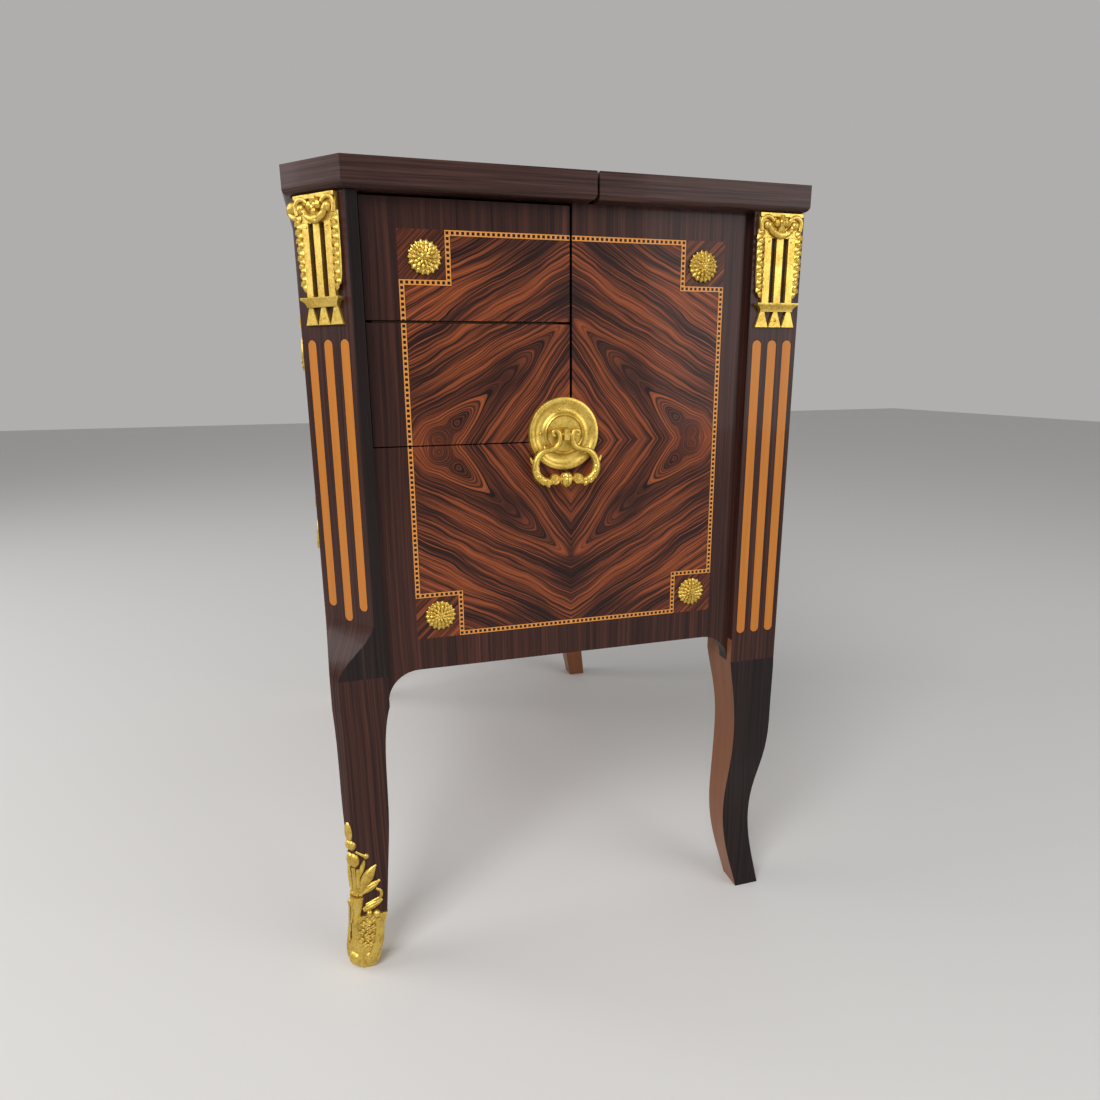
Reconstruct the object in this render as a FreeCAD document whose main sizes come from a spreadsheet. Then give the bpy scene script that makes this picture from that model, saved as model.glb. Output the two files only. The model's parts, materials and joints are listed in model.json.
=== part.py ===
import FreeCAD, Part
import os
import re
import Sketcher

doc = FreeCAD.newDocument("metamorphic_desk")

# Sizes of the desk in millimetres
SIZES = [
    ("height", 780.0),
    ("top_width", 712.0),
    ("top_depth", 486.0),
    ("top_thick", 24.0),
    ("top_cant", 48.0),
    ("top_round", 5.0),
    ("overhang_side", 8.0),
    ("overhang_front", 6.5),
    ("overhang_back", 1.0),
    ("post_side", 54.0),
    ("post_cant", 44.5),
    ("post_relief", 0.5),
    ("panel_recess", 9.0),
    ("panel_thick", 16.0),
    ("front_thick", 20.0),
    ("board", 8.0),
    ("thin_board", 6.0),
    ("bracket_drop", 31.0),
    ("tongue_rise", 52.0),
    ("tongue_drop", 5.0),
    ("sabot_height", 61.5),
    ("apron_height", 38.0),
    ("moving_gap", 2.4),
    ("slide_gap", 1.0),
    ("leaf_gap", 0.5),
    ("slide_thick", 14.0),
    ("leather_thick", 1.5),
    ("leather_border", 32.0),
    ("box_inset", 10.0),
    ("box_clearance", 10.6),
    ("drawer_clearance", 29.0),
    ("hinge_plate", 0.9),
    ("hinge_length", 60.0),
    ("hinge_drop", 18.0),
    ("barrel_radius", 2.0),
    ("hinge_pin_radius", 1.0),
    ("axis_lift", 2.1),
    ("running_gap", 0.05),
    ("end_gap", 0.4),
    ("handle_plate_radius", 35.0),
    ("upper_handle_rise", 114.0),
    ("lower_handle_rise", 107.5),
    ("bail_half", 28.0),
    ("bail_drop", 18.0),
    ("side_handle_shift", 8.0),
    ("plate_step", 2.2),
    ("bail_wire", 3.0),
    ("bail_bend", 9.0),
    ("bail_knop", 5.0),
    ("stud_radius", 5.5),
    ("stud_reach", 14.5),
    ("pivot_reach", 10.5),
    ("bail_pin_radius", 1.8),
    ("key_drop", 41.0),
    ("shank_radius", 2.6),
    ("bit_reach", 8.0),
    ("bit_width", 3.0),
    ("bow_ring", 3.9),
    ("bow_wire", 1.3),
    ("bow_spread", 6.4),
    ("escutcheon_half", 13.0),
    ("escutcheon_length", 46.0),
    ("escutcheon_thick", 1.2),
    ("lock_width", 60.0),
    ("lock_depth", 13.0),
    ("lock_margin", 5.0),
    ("bolt_width", 20.0),
    ("bolt_thick", 5.0),
    ("chute_height", 103.0),
    ("chute_width", 46.0),
    ("chute_plate", 2.5),
    ("rosette_radius", 15.5),
    ("rosette_thick", 5.0),
    ("knob_radius", 5.0),
    ("knob_reach", 10.0),
    ("sabot_thick", 2.0),
]

# Divisions of the desk, as shares of the size or room that each one divides
SHARES = [
    ("leg_share", 0.41474),
    ("drawer_seam_share", 0.69487),
    ("side_seam_share", 0.83590),
    ("top_seam_share", 0.05391),
    ("end_seam_share", 0.01132),
    ("slide_share", 0.53452),
    ("middle_box_share", 0.55782),
    ("hinge_place_share", 0.78231),
    ("handle_place_share", 0.59864),
    ("frame_width_share", 0.41727),
    ("frame_height_share", 0.42659),
    ("frame_notch_share", 0.26779),
]

# Places that follow from the sizes
PLACES = [
    ("top_under", "height - top_thick"),
    ("carcass_bottom", "height * leg_share"),
    ("drawer_seam_height", "height * drawer_seam_share"),
    ("side_seam_height", "height * side_seam_share"),
    ("top_seam_y", "top_depth * top_seam_share"),
    ("side_seam_y", "top_depth * end_seam_share"),
    ("post_x", "top_width / 2 - overhang_side"),
    ("post_inner_x", "post_x - post_side"),
    ("post_front_y", "overhang_front - top_depth / 2"),
    ("post_front_inner_y", "post_front_y + post_side"),
    ("post_back_y", "top_depth / 2 - overhang_back"),
    ("post_back_inner_y", "post_back_y - post_side"),
    ("panel_x", "post_x - panel_recess"),
    ("panel_inner_x", "panel_x - panel_thick"),
    ("front_y", "post_front_y + panel_recess"),
    ("front_inner_y", "front_y + front_thick"),
    ("back_y", "post_back_y - panel_recess / 2"),
    ("back_inner_y", "back_y - panel_thick"),
    ("floor_top", "carcass_bottom + apron_height"),
    ("middle_under", "drawer_seam_height - board / 2"),
    ("middle_top", "middle_under + board"),
    ("drawer_depth", "back_inner_y - front_inner_y - drawer_clearance"),
    ("middle_box_half", "post_inner_x * middle_box_share"),
    ("hinge_place", "post_inner_x * hinge_place_share"),
    ("handle_place", "post_inner_x * handle_place_share"),
    ("upper_handle_height", "middle_top + upper_handle_rise"),
    ("lower_handle_height", "floor_top + lower_handle_rise"),
    ("key_height", "middle_under - slide_gap - key_drop"),
    ("bay_x", "middle_box_half + moving_gap + board"),
    ("side_box_length", "panel_inner_x - bay_x - box_clearance"),
    ("bay_back_y", "side_seam_y + moving_gap / 2"),
    ("slide_depth", "(back_inner_y - front_y) * slide_share"),
    ("slide_top", "top_under - moving_gap"),
    ("slide_under", "slide_top - slide_thick"),
    ("bay_top", "slide_under"),
    ("bay_ceiling", "bay_top - thin_board"),
    ("shelf_top", "side_seam_height"),
    ("shelf_under", "shelf_top - thin_board"),
    ("hinge_axis_z", "height + axis_lift"),
    ("frame_half_width", "(post_back_inner_y - post_front_inner_y) * frame_width_share"),
    ("frame_half_height", "(top_under - carcass_bottom) * frame_height_share"),
    ("frame_notch", "frame_half_width * frame_notch_share"),
    ("tongue_top", "carcass_bottom + tongue_rise"),
    ("tongue_foot", "carcass_bottom - tongue_drop"),
    ("leg_top", "carcass_bottom - bracket_drop"),
]

sheet = doc.addObject("Spreadsheet::Sheet", "Sizes")
for row, (alias, size) in enumerate(SIZES + SHARES, start=1):
    sheet.set("A%d" % row, alias)
    sheet.set("B%d" % row, str(size))
    sheet.setAlias("B%d" % row, alias)
doc.recompute()
for row, (alias, formula) in enumerate(PLACES, start=len(SIZES + SHARES) + 1):
    sheet.set("A%d" % row, alias)
    sheet.set("B%d" % row, "=" + formula)
    sheet.setAlias("B%d" % row, alias)
    doc.recompute()

NAMES = [alias for alias, _ in SIZES + SHARES + PLACES]
parts = []


def bind(text):
    """Write a sum of size names the way an expression needs it."""
    return re.sub(r"[a-z][a-z_]+", lambda word: "Sizes." + word.group(0) if word.group(0) in NAMES
                  else word.group(0), text)


def value(text):
    """Number that a sum of size names comes to."""
    return float(sheet.evalExpression(bind(text)))


def place(item, x, y, z):
    """Set where an object stands by sums of size names."""
    for axis, text in zip("xyz", (x, y, z)):
        item.setExpression("Placement.Base." + axis, bind(text))


def turn(item, axis, angle):
    """Turn an object about one axis through its own origin."""
    item.Placement.Rotation = FreeCAD.Rotation(FreeCAD.Vector(*axis), angle)


AXIS_X = (1, 0, 0)
AXIS_Y = (0, 1, 0)
AXIS_Z = (0, 0, 1)
QUARTER = 90
HALF_QUARTER = QUARTER / 2


def block(label, x, y, z):
    """Board between two places on each axis."""
    item = doc.addObject("Part::Box", label)
    for size, (low, high) in zip(("Length", "Width", "Height"), (x, y, z)):
        item.setExpression(size, bind("(%s) - (%s)" % (high, low)))
    place(item, x[0], y[0], z[0])
    return item


def rod(label, radius, length, start, axis=None, angle=0):
    """Round bar from a start place, upright unless turned."""
    item = doc.addObject("Part::Cylinder", label)
    item.setExpression("Radius", bind(radius))
    item.setExpression("Height", bind(length))
    if axis:
        turn(item, axis, angle)
    place(item, *start)
    return item


def ball(label, radius, centre):
    """Ball round a place."""
    item = doc.addObject("Part::Sphere", label)
    item.setExpression("Radius", bind(radius))
    place(item, *centre)
    return item


def fuse(label, items):
    """One solid from overlapping pieces."""
    item = doc.addObject("Part::MultiFuse", label)
    item.Shapes = items
    item.Refine = True
    return item


def cut(label, base, tool):
    """One piece with another taken out of it."""
    item = doc.addObject("Part::Cut", label)
    item.Base = base
    item.Tool = tool
    return item


def group(label, items):
    """Boards glued up edge to edge, kept as separate solids."""
    item = doc.addObject("Part::Compound", label)
    item.Links = items
    return item


def mirrored(label, source):
    """The same piece for the other end of the desk."""
    item = doc.addObject("Part::Mirroring", label)
    item.Source = source
    item.Normal = FreeCAD.Vector(*AXIS_X)
    return item


def keep(item):
    """Count an object as a finished part of the desk."""
    parts.append(item)
    return item


def span(low, high, side):
    """Two places along X, swapped over for the left-hand end."""
    if side > 0:
        return (low, high)
    return ("-(%s)" % high, "-(%s)" % low)


# Sketches
def origin_plane(body, role):
    for feature in body.Origin.OriginFeatures:
        if getattr(feature, "Role", "") == role:
            return feature
    raise ValueError(role)


def pin_point(sketch, edge, end, across, along):
    """Hold one corner of an outline at two sums of size names."""
    for kind, text in (("DistanceX", across), ("DistanceY", along)):
        number = value(text)
        if number < 0:
            index = sketch.addConstraint(Sketcher.Constraint(kind, edge, end, -1, 1, -number))
            text = "-(%s)" % text
        else:
            index = sketch.addConstraint(Sketcher.Constraint(kind, -1, 1, edge, end, number))
        sketch.setExpression("Constraints[%d]" % index, bind(text))


def arc_middle(start, end, radius, bend):
    """Point halfway along an arc; bend is 1 when it turns to the left and -1 when it turns to the right."""
    chord = end - start
    left = FreeCAD.Vector(-chord.y, chord.x, 0)
    left.normalize()
    half = chord.Length / 2
    rise = max(radius * radius - half * half, 0) ** 0.5
    return (start + end) * 0.5 + left * bend * (rise - radius)


def outline(body, name, role, points, offset=None, arcs=None, closed=True):
    """Outline through named points; arcs gives the radius and the bend of those edges that are round."""
    arcs = arcs or {}
    sketch = body.newObject("Sketcher::SketchObject", name)
    sketch.AttachmentSupport = [(origin_plane(body, role), "")]
    sketch.MapMode = "FlatFace"
    if offset:
        sketch.setExpression("AttachmentOffset.Base.z", bind(offset))
    spots = [FreeCAD.Vector(value(across), value(along), 0) for across, along in points]
    count = len(spots) if closed else len(spots) - 1
    ends = []
    for i in range(count):
        start, end = spots[i], spots[(i + 1) % len(spots)]
        if i in arcs:
            radius, bend = arcs[i]
            middle = arc_middle(start, end, value(radius), bend)
            sketch.addGeometry(Part.Arc(start, middle, end), False)
        else:
            sketch.addGeometry(Part.LineSegment(start, end), False)
        first = sketch.getPoint(i, 1)
        ends.append((1, 2) if (first - start).Length < (first - end).Length else (2, 1))
    for i in range(count if closed else count - 1):
        after = (i + 1) % count
        sketch.addConstraint(Sketcher.Constraint("Coincident", i, ends[i][1], after, ends[after][0]))
    for i in range(count):
        pin_point(sketch, i, ends[i][0], *points[i])
    if not closed:
        pin_point(sketch, count - 1, ends[-1][1], *points[-1])
    for i, (radius, _) in arcs.items():
        index = sketch.addConstraint(Sketcher.Constraint("Radius", i, value(radius)))
        sketch.setExpression("Constraints[%d]" % index, bind(radius))
    return sketch


def pad(body, name, sketch, length, back=False):
    """Thickness given to an outline."""
    feature = body.newObject("PartDesign::Pad", name)
    feature.Profile = sketch
    feature.setExpression("Length", bind(length))
    feature.Reversed = back
    sketch.Visibility = False
    return feature


# Posts with cabriole legs
# Each row is a level, evenly spaced from the top down: set-in of the outer corner and side of the section,
# as shares of the post's side, and the cut-off corner as a share of the post's cant.
TONGUE_SHARES = [(0.0, 1.0, 1.00), (0.0, 1.0, 0.72), (0.0, 1.0, 0.34), (0.0, 1.0, 0.17)]
FRONT_LEG_SHARES = [
    (0.000, 1.000, 0.17),
    (0.022, 0.880, 0.16),
    (0.030, 0.842, 0.15),
    (0.030, 0.835, 0.15),
    (0.036, 0.822, 0.14),
    (0.058, 0.775, 0.14),
    (0.088, 0.705, 0.13),
    (0.100, 0.652, 0.13),
    (0.058, 0.648, 0.13),
]
SABOT_SHARES = [(0.058, 0.648, 0.13), (0.000, 0.688, 0.16), (-0.048, 0.710, 0.25), (-0.040, 0.560, 0.40)]
REAR_LEG_SHARES = [
    (0.000, 1.000),
    (0.000, 0.900),
    (0.000, 0.835),
    (0.030, 0.800),
    (0.130, 0.715),
    (0.215, 0.645),
    (0.215, 0.612),
    (0.135, 0.580),
    (0.020, 0.540),
]


def front_corner(inset, side, cant, grow="0"):
    """Five-sided section of a front leg with its outer corner cut off."""
    out_x = "post_x - post_side * %s + %s" % (inset, grow)
    out_y = "post_front_y + post_side * %s - %s" % (inset, grow)
    in_x = "post_x - post_side * %s - post_side * %s - %s" % (inset, side, grow)
    in_y = "post_front_y + post_side * %s + post_side * %s + %s" % (inset, side, grow)
    chop = "post_cant * %s" % cant
    return [
        (in_x, out_y),
        ("%s - %s" % (out_x, chop), out_y),
        (out_x, "%s + %s" % (out_y, chop)),
        (out_x, in_y),
        (in_x, in_y),
    ]


def rear_corner(inset, side):
    """Square section of a rear leg."""
    out_x = "post_x - post_side * %s" % inset
    out_y = "post_back_y - post_side * %s" % inset
    in_x = "post_x - post_side * %s - post_side * %s" % (inset, side)
    in_y = "post_back_y - post_side * %s - post_side * %s" % (inset, side)
    return [(in_x, in_y), (out_x, in_y), (out_x, out_y), (in_x, out_y)]


def lofted(body, name, sketches):
    """Smooth skin over a row of sections."""
    feature = body.newObject("PartDesign::AdditiveLoft", name)
    feature.Profile = sketches[0]
    feature.Sections = sketches[1:]
    for sketch in sketches:
        sketch.Visibility = False
    return feature


def tapered(body, name, section, shares, top, foot):
    """Loft from one height down to another through evenly spaced sections."""
    levels = []
    for i, row in enumerate(shares):
        level = "%s + (%s - %s) * %d / %d" % (top, foot, top, i, len(shares) - 1)
        levels.append(outline(body, "%s_level_%d" % (name, i), "XY_Plane", section(*row), level))
    return lofted(body, name, levels)


def prism(body, name, section, foot, top):
    """Straight length of a post."""
    face = outline(body, name + "_section", "XY_Plane", section, foot)
    return pad(body, name, face, "%s - %s" % (top, foot))


def front_post(label):
    """Canted stile, lamb's-tongue stop, square knee and cabriole leg down to the sabot."""
    body = doc.addObject("PartDesign::Body", label)
    prism(body, label + "_stile", front_corner(*TONGUE_SHARES[0]), "tongue_top", "top_under - post_relief")
    tapered(body, label + "_tongue", front_corner, TONGUE_SHARES, "tongue_top", "tongue_foot")
    prism(body, label + "_knee", front_corner(*TONGUE_SHARES[-1]), "leg_top", "tongue_foot")
    tapered(body, label + "_leg", front_corner, FRONT_LEG_SHARES, "leg_top", "sabot_height")
    return body


def rear_post(label):
    """Square stile and cabriole leg down to the floor."""
    body = doc.addObject("PartDesign::Body", label)
    prism(body, label + "_stile", rear_corner(*REAR_LEG_SHARES[0]), "leg_top", "top_under")
    tapered(body, label + "_leg", rear_corner, REAR_LEG_SHARES, "leg_top", "0")
    return body


def shod_corner(inset, side, cant):
    """Section of the sabot, outside the leg it is fitted over."""
    return front_corner(inset, side, cant, "sabot_thick")


def sabot(label):
    body = doc.addObject("PartDesign::Body", label)
    tapered(body, label + "_toe", shod_corner, SABOT_SHARES, "sabot_height", "0")
    return body


front_post_right = keep(front_post("front_post_right"))
rear_post_right = keep(rear_post("rear_post_right"))
sabot_right = keep(sabot("sabot_right"))
keep(mirrored("front_post_left", front_post_right))
keep(mirrored("rear_post_left", rear_post_right))
keep(mirrored("sabot_left", sabot_right))


# Fixed end panels, cut out at the upper front for the two end drawers
KNEE_ARCS = {0: ("bracket_drop", -1), 2: ("bracket_drop", -1)}


def side_panel(label):
    body = doc.addObject("PartDesign::Body", label)
    shape = [
        ("post_front_inner_y", "leg_top"),
        ("post_front_inner_y + bracket_drop", "carcass_bottom"),
        ("post_back_inner_y - bracket_drop", "carcass_bottom"),
        ("post_back_inner_y", "leg_top"),
        ("post_back_inner_y", "top_under"),
        ("bay_back_y", "top_under"),
        ("bay_back_y", "drawer_seam_height"),
        ("post_front_inner_y", "drawer_seam_height"),
    ]
    face = outline(body, label + "_outline", "YZ_Plane", shape, "panel_inner_x", KNEE_ARCS)
    pad(body, label + "_board", face, "panel_thick")
    return body


side_panel_right = keep(side_panel("side_panel_right"))
keep(mirrored("side_panel_left", side_panel_right))


# Apron under the lower drawer, with the same knee brackets
def front_apron(label):
    body = doc.addObject("PartDesign::Body", label)
    shape = [
        ("-(post_inner_x)", "leg_top"),
        ("bracket_drop - post_inner_x", "carcass_bottom"),
        ("post_inner_x - bracket_drop", "carcass_bottom"),
        ("post_inner_x", "leg_top"),
        ("post_inner_x", "floor_top"),
        ("-(post_inner_x)", "floor_top"),
    ]
    face = outline(body, label + "_outline", "XZ_Plane", shape, "-(front_y)", KNEE_ARCS)
    pad(body, label + "_board", face, "front_thick", back=True)
    return body


keep(front_apron("front_apron"))
keep(block("back_panel", ("-(post_inner_x)", "post_inner_x"), ("back_inner_y", "back_y"),
           ("carcass_bottom", "top_under")))


def notched_board(label, low, high, front):
    """Board across the carcass, narrower where the posts stand."""
    strips = [
        block(label + "_wide", ("-(post_inner_x)", "post_inner_x"), (front, "back_inner_y"), (low, high)),
        block(label + "_right", ("post_inner_x", "panel_inner_x"),
              ("post_front_inner_y", "post_back_inner_y"), (low, high)),
        block(label + "_left", ("-(panel_inner_x)", "-(post_inner_x)"),
              ("post_front_inner_y", "post_back_inner_y"), (low, high)),
    ]
    return strips


keep(group("bottom_board", notched_board("bottom_board", "floor_top - board", "floor_top",
                                         "front_inner_y")))

# Middle board with the mortise for the lock bolt left open in its front strip
mortise_back = "front_inner_y + lock_depth"
middle = notched_board("middle_board", "middle_under", "middle_top", mortise_back)
mortise_half = "bolt_width / 2 + slide_gap"
for side, end in ((1, "right"), (-1, "left")):
    middle.append(block("middle_rail_" + end, span(mortise_half, "post_inner_x", side),
                        ("front_y", mortise_back), ("middle_under", "middle_top")))
middle.append(block("middle_lip", ("-(%s)" % mortise_half, mortise_half),
                    ("front_y", "front_inner_y"), ("middle_under", "middle_top")))
keep(group("middle_board", middle))

# Guides that keep the lower drawer straight behind the posts
guides = []
for side, end in ((1, "right"), (-1, "left")):
    guides.append(block("guide_" + end, span("post_inner_x - moving_gap", "panel_inner_x", side),
                        ("post_front_inner_y", "post_back_inner_y"),
                        ("floor_top", "floor_top + post_side")))
keep(group("drawer_guides", guides))

# Bays for the end drawers: a wall beside the middle drawer, a back, a shelf and a ceiling
for side, end in ((1, "right"), (-1, "left")):
    keep(block("bay_wall_" + end, span("bay_x - board", "bay_x", side),
               ("front_inner_y + moving_gap", "back_inner_y"), ("middle_top", "bay_top")))
    boards = [
        block("bay_back_" + end, span("bay_x", "panel_inner_x", side),
              ("bay_back_y", "bay_back_y + board"), ("middle_top", "bay_top")),
        block("bay_shelf_" + end, span("bay_x", "panel_inner_x - slide_gap", side),
              ("post_front_inner_y", "bay_back_y"), ("shelf_under", "shelf_top")),
        block("bay_ceiling_" + end, span("bay_x", "panel_inner_x - slide_gap", side),
              ("post_front_inner_y", "bay_back_y"), ("bay_ceiling", "bay_top")),
        block("bay_front_" + end, span("bay_x", "post_inner_x", side),
              ("front_inner_y + moving_gap", "post_front_inner_y"), ("middle_top", "bay_top")),
    ]
    keep(group("bay_boards_" + end, boards))


# Top in two boards that meet at the cross seam
def bottom_edges(feature, height, skip_y=None):
    """Names of the straight edges that lie at one height."""
    names = []
    for i, edge in enumerate(feature.Shape.Edges, start=1):
        box = edge.BoundBox
        if abs(box.ZMin - height) > 1e-6 or abs(box.ZMax - height) > 1e-6:
            continue
        if skip_y is not None and abs(box.YMin - skip_y) < 1e-6 and abs(box.YMax - skip_y) < 1e-6:
            continue
        names.append("Edge%d" % i)
    return names


def round_under(body, name, feature, radius, skip_y=None):
    """Rounding of the lower arris of a top board."""
    doc.recompute()
    rounding = body.newObject("PartDesign::Fillet", name)
    rounding.Base = (feature, bottom_edges(feature, value("top_under"), skip_y))
    rounding.setExpression("Radius", bind(radius))
    return rounding


half_top = "top_width / 2"
leaf_back = "top_seam_y - moving_gap / 2"
rear_front = "top_seam_y + moving_gap / 2"
leaf = doc.addObject("PartDesign::Body", "top_leaf")
leaf_shape = [
    ("top_cant - top_width / 2", "-(top_depth) / 2"),
    ("top_width / 2 - top_cant", "-(top_depth) / 2"),
    (half_top, "top_cant - top_depth / 2"),
    (half_top, leaf_back),
    ("-(top_width) / 2", leaf_back),
    ("-(top_width) / 2", "top_cant - top_depth / 2"),
]
leaf_face = outline(leaf, "leaf_outline", "XY_Plane", leaf_shape, "top_under")
leaf_pad = pad(leaf, "leaf_board", leaf_face, "top_thick")
round_under(leaf, "leaf_rounding", leaf_pad, "top_round")
keep(leaf)

rear_top = doc.addObject("PartDesign::Body", "rear_top")
rear_shape = [
    ("-(top_width) / 2", rear_front),
    (half_top, rear_front),
    (half_top, "top_depth / 2"),
    ("-(top_width) / 2", "top_depth / 2"),
]
rear_face = outline(rear_top, "rear_outline", "XY_Plane", rear_shape, "top_under")
rear_pad = pad(rear_top, "rear_board", rear_face, "top_thick")
round_under(rear_top, "rear_rounding", rear_pad, "top_round", value(rear_front))
keep(rear_top)

# Butt hinges in the cross seam: plates on the two edges, barrels above the surface
fixed_hinges = []
moving_hinges = []
for side, end in ((1, "right"), (-1, "left")):
    start = "%s hinge_place - hinge_length / 2" % ("" if side > 0 else "-")
    finish = "%s + hinge_length" % start
    inner = "%s + hinge_length / 3" % start
    outer = "%s + hinge_length * 2 / 3" % start
    plate_drop = "height - hinge_drop"
    axis_start = ("top_seam_y", "hinge_axis_z")
    fixed_plates = []
    for tag, low in (("near", start), ("far", "%s + end_gap" % outer)):
        fixed_plates.append(rod("fixed_barrel_%s_%s" % (tag, end), "barrel_radius",
                                "hinge_length / 3 - end_gap", (low, *axis_start), AXIS_Y, QUARTER))
    fixed_plates.append(block("fixed_plate_" + end, (start, finish),
                              ("%s - hinge_plate" % rear_front, rear_front), (plate_drop, "height")))
    for tag, low, high in (("near", start, "%s - end_gap" % inner),
                           ("far", "%s + end_gap" % outer, finish)):
        fixed_plates.append(block("fixed_strap_%s_%s" % (tag, end), (low, high),
                                  ("%s - hinge_plate" % rear_front, rear_front),
                                  ("height", "hinge_axis_z")))
    fixed_solid = fuse("fixed_hinge_" + end, fixed_plates)
    bore = rod("fixed_bore_" + end, "hinge_pin_radius", "hinge_length", (start, *axis_start),
               AXIS_Y, QUARTER)
    fixed_hinges.append(cut("fixed_half_" + end, fixed_solid, bore))
    fixed_hinges.append(rod("hinge_pin_" + end, "hinge_pin_radius", "hinge_length",
                            (start, *axis_start), AXIS_Y, QUARTER))
    moving_solid = fuse("moving_hinge_" + end, [
        rod("moving_barrel_" + end, "barrel_radius", "hinge_length / 3", (inner, *axis_start),
            AXIS_Y, QUARTER),
        block("moving_plate_" + end, (start, finish), (leaf_back, "%s + hinge_plate" % leaf_back),
              (plate_drop, "height")),
        block("moving_strap_" + end, (inner, outer), (leaf_back, "%s + hinge_plate" % leaf_back),
              ("height", "hinge_axis_z")),
    ])
    moving_bore = rod("moving_bore_" + end, "hinge_pin_radius + running_gap", "hinge_length",
                      (start, *axis_start), AXIS_Y, QUARTER)
    moving_hinges.append(cut("moving_half_" + end, moving_solid, moving_bore))
keep(group("top_hinges", fixed_hinges))
keep(group("leaf_hinges", moving_hinges))

# Writing slide under the leaf, lined with leather, with two small pulls
slide_half = "post_inner_x - moving_gap"
slide_back = "front_y + slide_depth"
leather_floor = "slide_top - leather_thick"
keep(group("writing_slide", [
    block("slide_board", ("-(%s)" % slide_half, slide_half), ("front_y", slide_back),
          ("slide_under", leather_floor)),
    block("slide_front_edge", ("-(%s)" % slide_half, slide_half), ("front_y", "front_y + leather_border"),
          (leather_floor, "slide_top")),
    block("slide_back_edge", ("-(%s)" % slide_half, slide_half),
          ("%s - leather_border" % slide_back, slide_back), (leather_floor, "slide_top")),
    block("slide_right_edge", ("%s - leather_border" % slide_half, slide_half),
          ("front_y + leather_border", "%s - leather_border" % slide_back), (leather_floor, "slide_top")),
    block("slide_left_edge", ("-(%s)" % slide_half, "leather_border - (%s)" % slide_half),
          ("front_y + leather_border", "%s - leather_border" % slide_back), (leather_floor, "slide_top")),
]))
keep(block("slide_leather", ("leather_border - (%s)" % slide_half, "%s - leather_border" % slide_half),
           ("front_y + leather_border", "%s - leather_border" % slide_back), (leather_floor, "slide_top")))
knobs = []
for side, end in (("", "right"), ("-", "left")):
    spot = ("%s handle_place" % side, "front_y", "slide_under + slide_thick / 2")
    tip = (spot[0], "front_y - knob_reach + knob_radius", spot[2])
    knobs.append(fuse("slide_knob_" + end, [
        rod("knob_neck_" + end, "knob_radius / 2", "knob_reach - knob_radius", spot, AXIS_X, QUARTER),
        ball("knob_ball_" + end, "knob_radius", tip),
    ]))
keep(group("slide_knobs", knobs))


# Drawers
def drawer_box(label, x, y, z, mouth):
    """Drawer boards behind a front: a floor and three walls, open at the side named by mouth."""
    inside_x = ("%s + thin_board" % x[0], "%s - thin_board" % x[1])
    inside_y = ("%s + thin_board" % y[0], "%s - thin_board" % y[1])
    above = ("%s + thin_board" % z[0], z[1])
    if mouth == "low_y":
        long_x, long_y = inside_x, y
    else:
        long_x, long_y = x, inside_y
    walls = {
        "low_x": block(label + "_low_x", (x[0], inside_x[0]), long_y, above),
        "high_x": block(label + "_high_x", (inside_x[1], x[1]), long_y, above),
        "low_y": block(label + "_low_y", long_x, (y[0], inside_y[0]), above),
        "high_y": block(label + "_high_y", long_x, (inside_y[1], y[1]), above),
    }
    doc.removeObject(walls.pop(mouth).Name)
    return group(label, [block(label + "_floor", x, y, (z[0], above[0])), *walls.values()])


front_half = "post_inner_x - moving_gap"
upper_low = "middle_top + slide_gap"
upper_high = "slide_under - slide_gap"
lower_low = "floor_top + slide_gap"
lower_high = "middle_under - slide_gap"
keep(block("upper_drawer_front", ("-(%s)" % front_half, front_half), ("front_y", "front_inner_y"),
           (upper_low, upper_high)))
keep(drawer_box("upper_drawer_box", ("-(middle_box_half)", "middle_box_half"),
                ("front_inner_y", "front_inner_y + drawer_depth"),
                ("middle_top", "%s - box_inset" % upper_high), "low_y"))
lower_board = block("lower_front_board", ("-(%s)" % front_half, front_half), ("front_y", "front_inner_y"),
                    (lower_low, lower_high))
keyhole = rod("keyhole", "shank_radius + running_gap", "front_thick * 2",
              ("0", "front_inner_y + front_thick / 2", "key_height"), AXIS_X, QUARTER)
keep(cut("lower_drawer_front", lower_board, keyhole))
box_half = "post_inner_x - moving_gap - slide_gap"
keep(drawer_box("lower_drawer_box", ("-(%s)" % box_half, box_half),
                ("front_inner_y", "front_inner_y + drawer_depth"),
                ("floor_top", "%s - box_inset" % lower_high), "low_y"))

# Lock let in behind the lower drawer front: case, bolt, key and keyhole plate
case_top = "%s - slide_gap" % lower_high
case_back = "front_inner_y + lock_depth"
bolt_front = "front_inner_y + (lock_depth - bolt_thick) / 2"
bolt_back = "%s + bolt_thick" % bolt_front
bolt_low = "key_height + bit_reach + slide_gap"
case_block = block("lock_block", ("-(lock_width) / 2", "lock_width / 2"), ("front_inner_y", case_back),
                   ("key_height - bit_reach - slide_gap - lock_margin", case_top))
case_room = fuse("lock_room", [
    block("bolt_room", ("-(bolt_width) / 2 - slide_gap / 2", "bolt_width / 2 + slide_gap / 2"),
          ("%s - slide_gap / 2" % bolt_front, "%s + slide_gap / 2" % bolt_back),
          ("key_height", lower_high)),
    rod("bit_room", "bit_reach + slide_gap", "bolt_thick + slide_gap",
        ("0", "%s + slide_gap / 2" % bolt_back, "key_height"), AXIS_X, QUARTER),
    rod("shank_room", "shank_radius + running_gap", "lock_depth",
        ("0", bolt_back, "key_height"), AXIS_X, QUARTER),
])
keep(cut("lock_case", case_block, case_room))
keep(block("lock_bolt", ("-(bolt_width) / 2", "bolt_width / 2"), (bolt_front, bolt_back),
           (bolt_low, "%s - slide_gap / 2" % lower_high)))
key_tip = "bow_ring + bow_wire - top_depth / 2"
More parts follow.
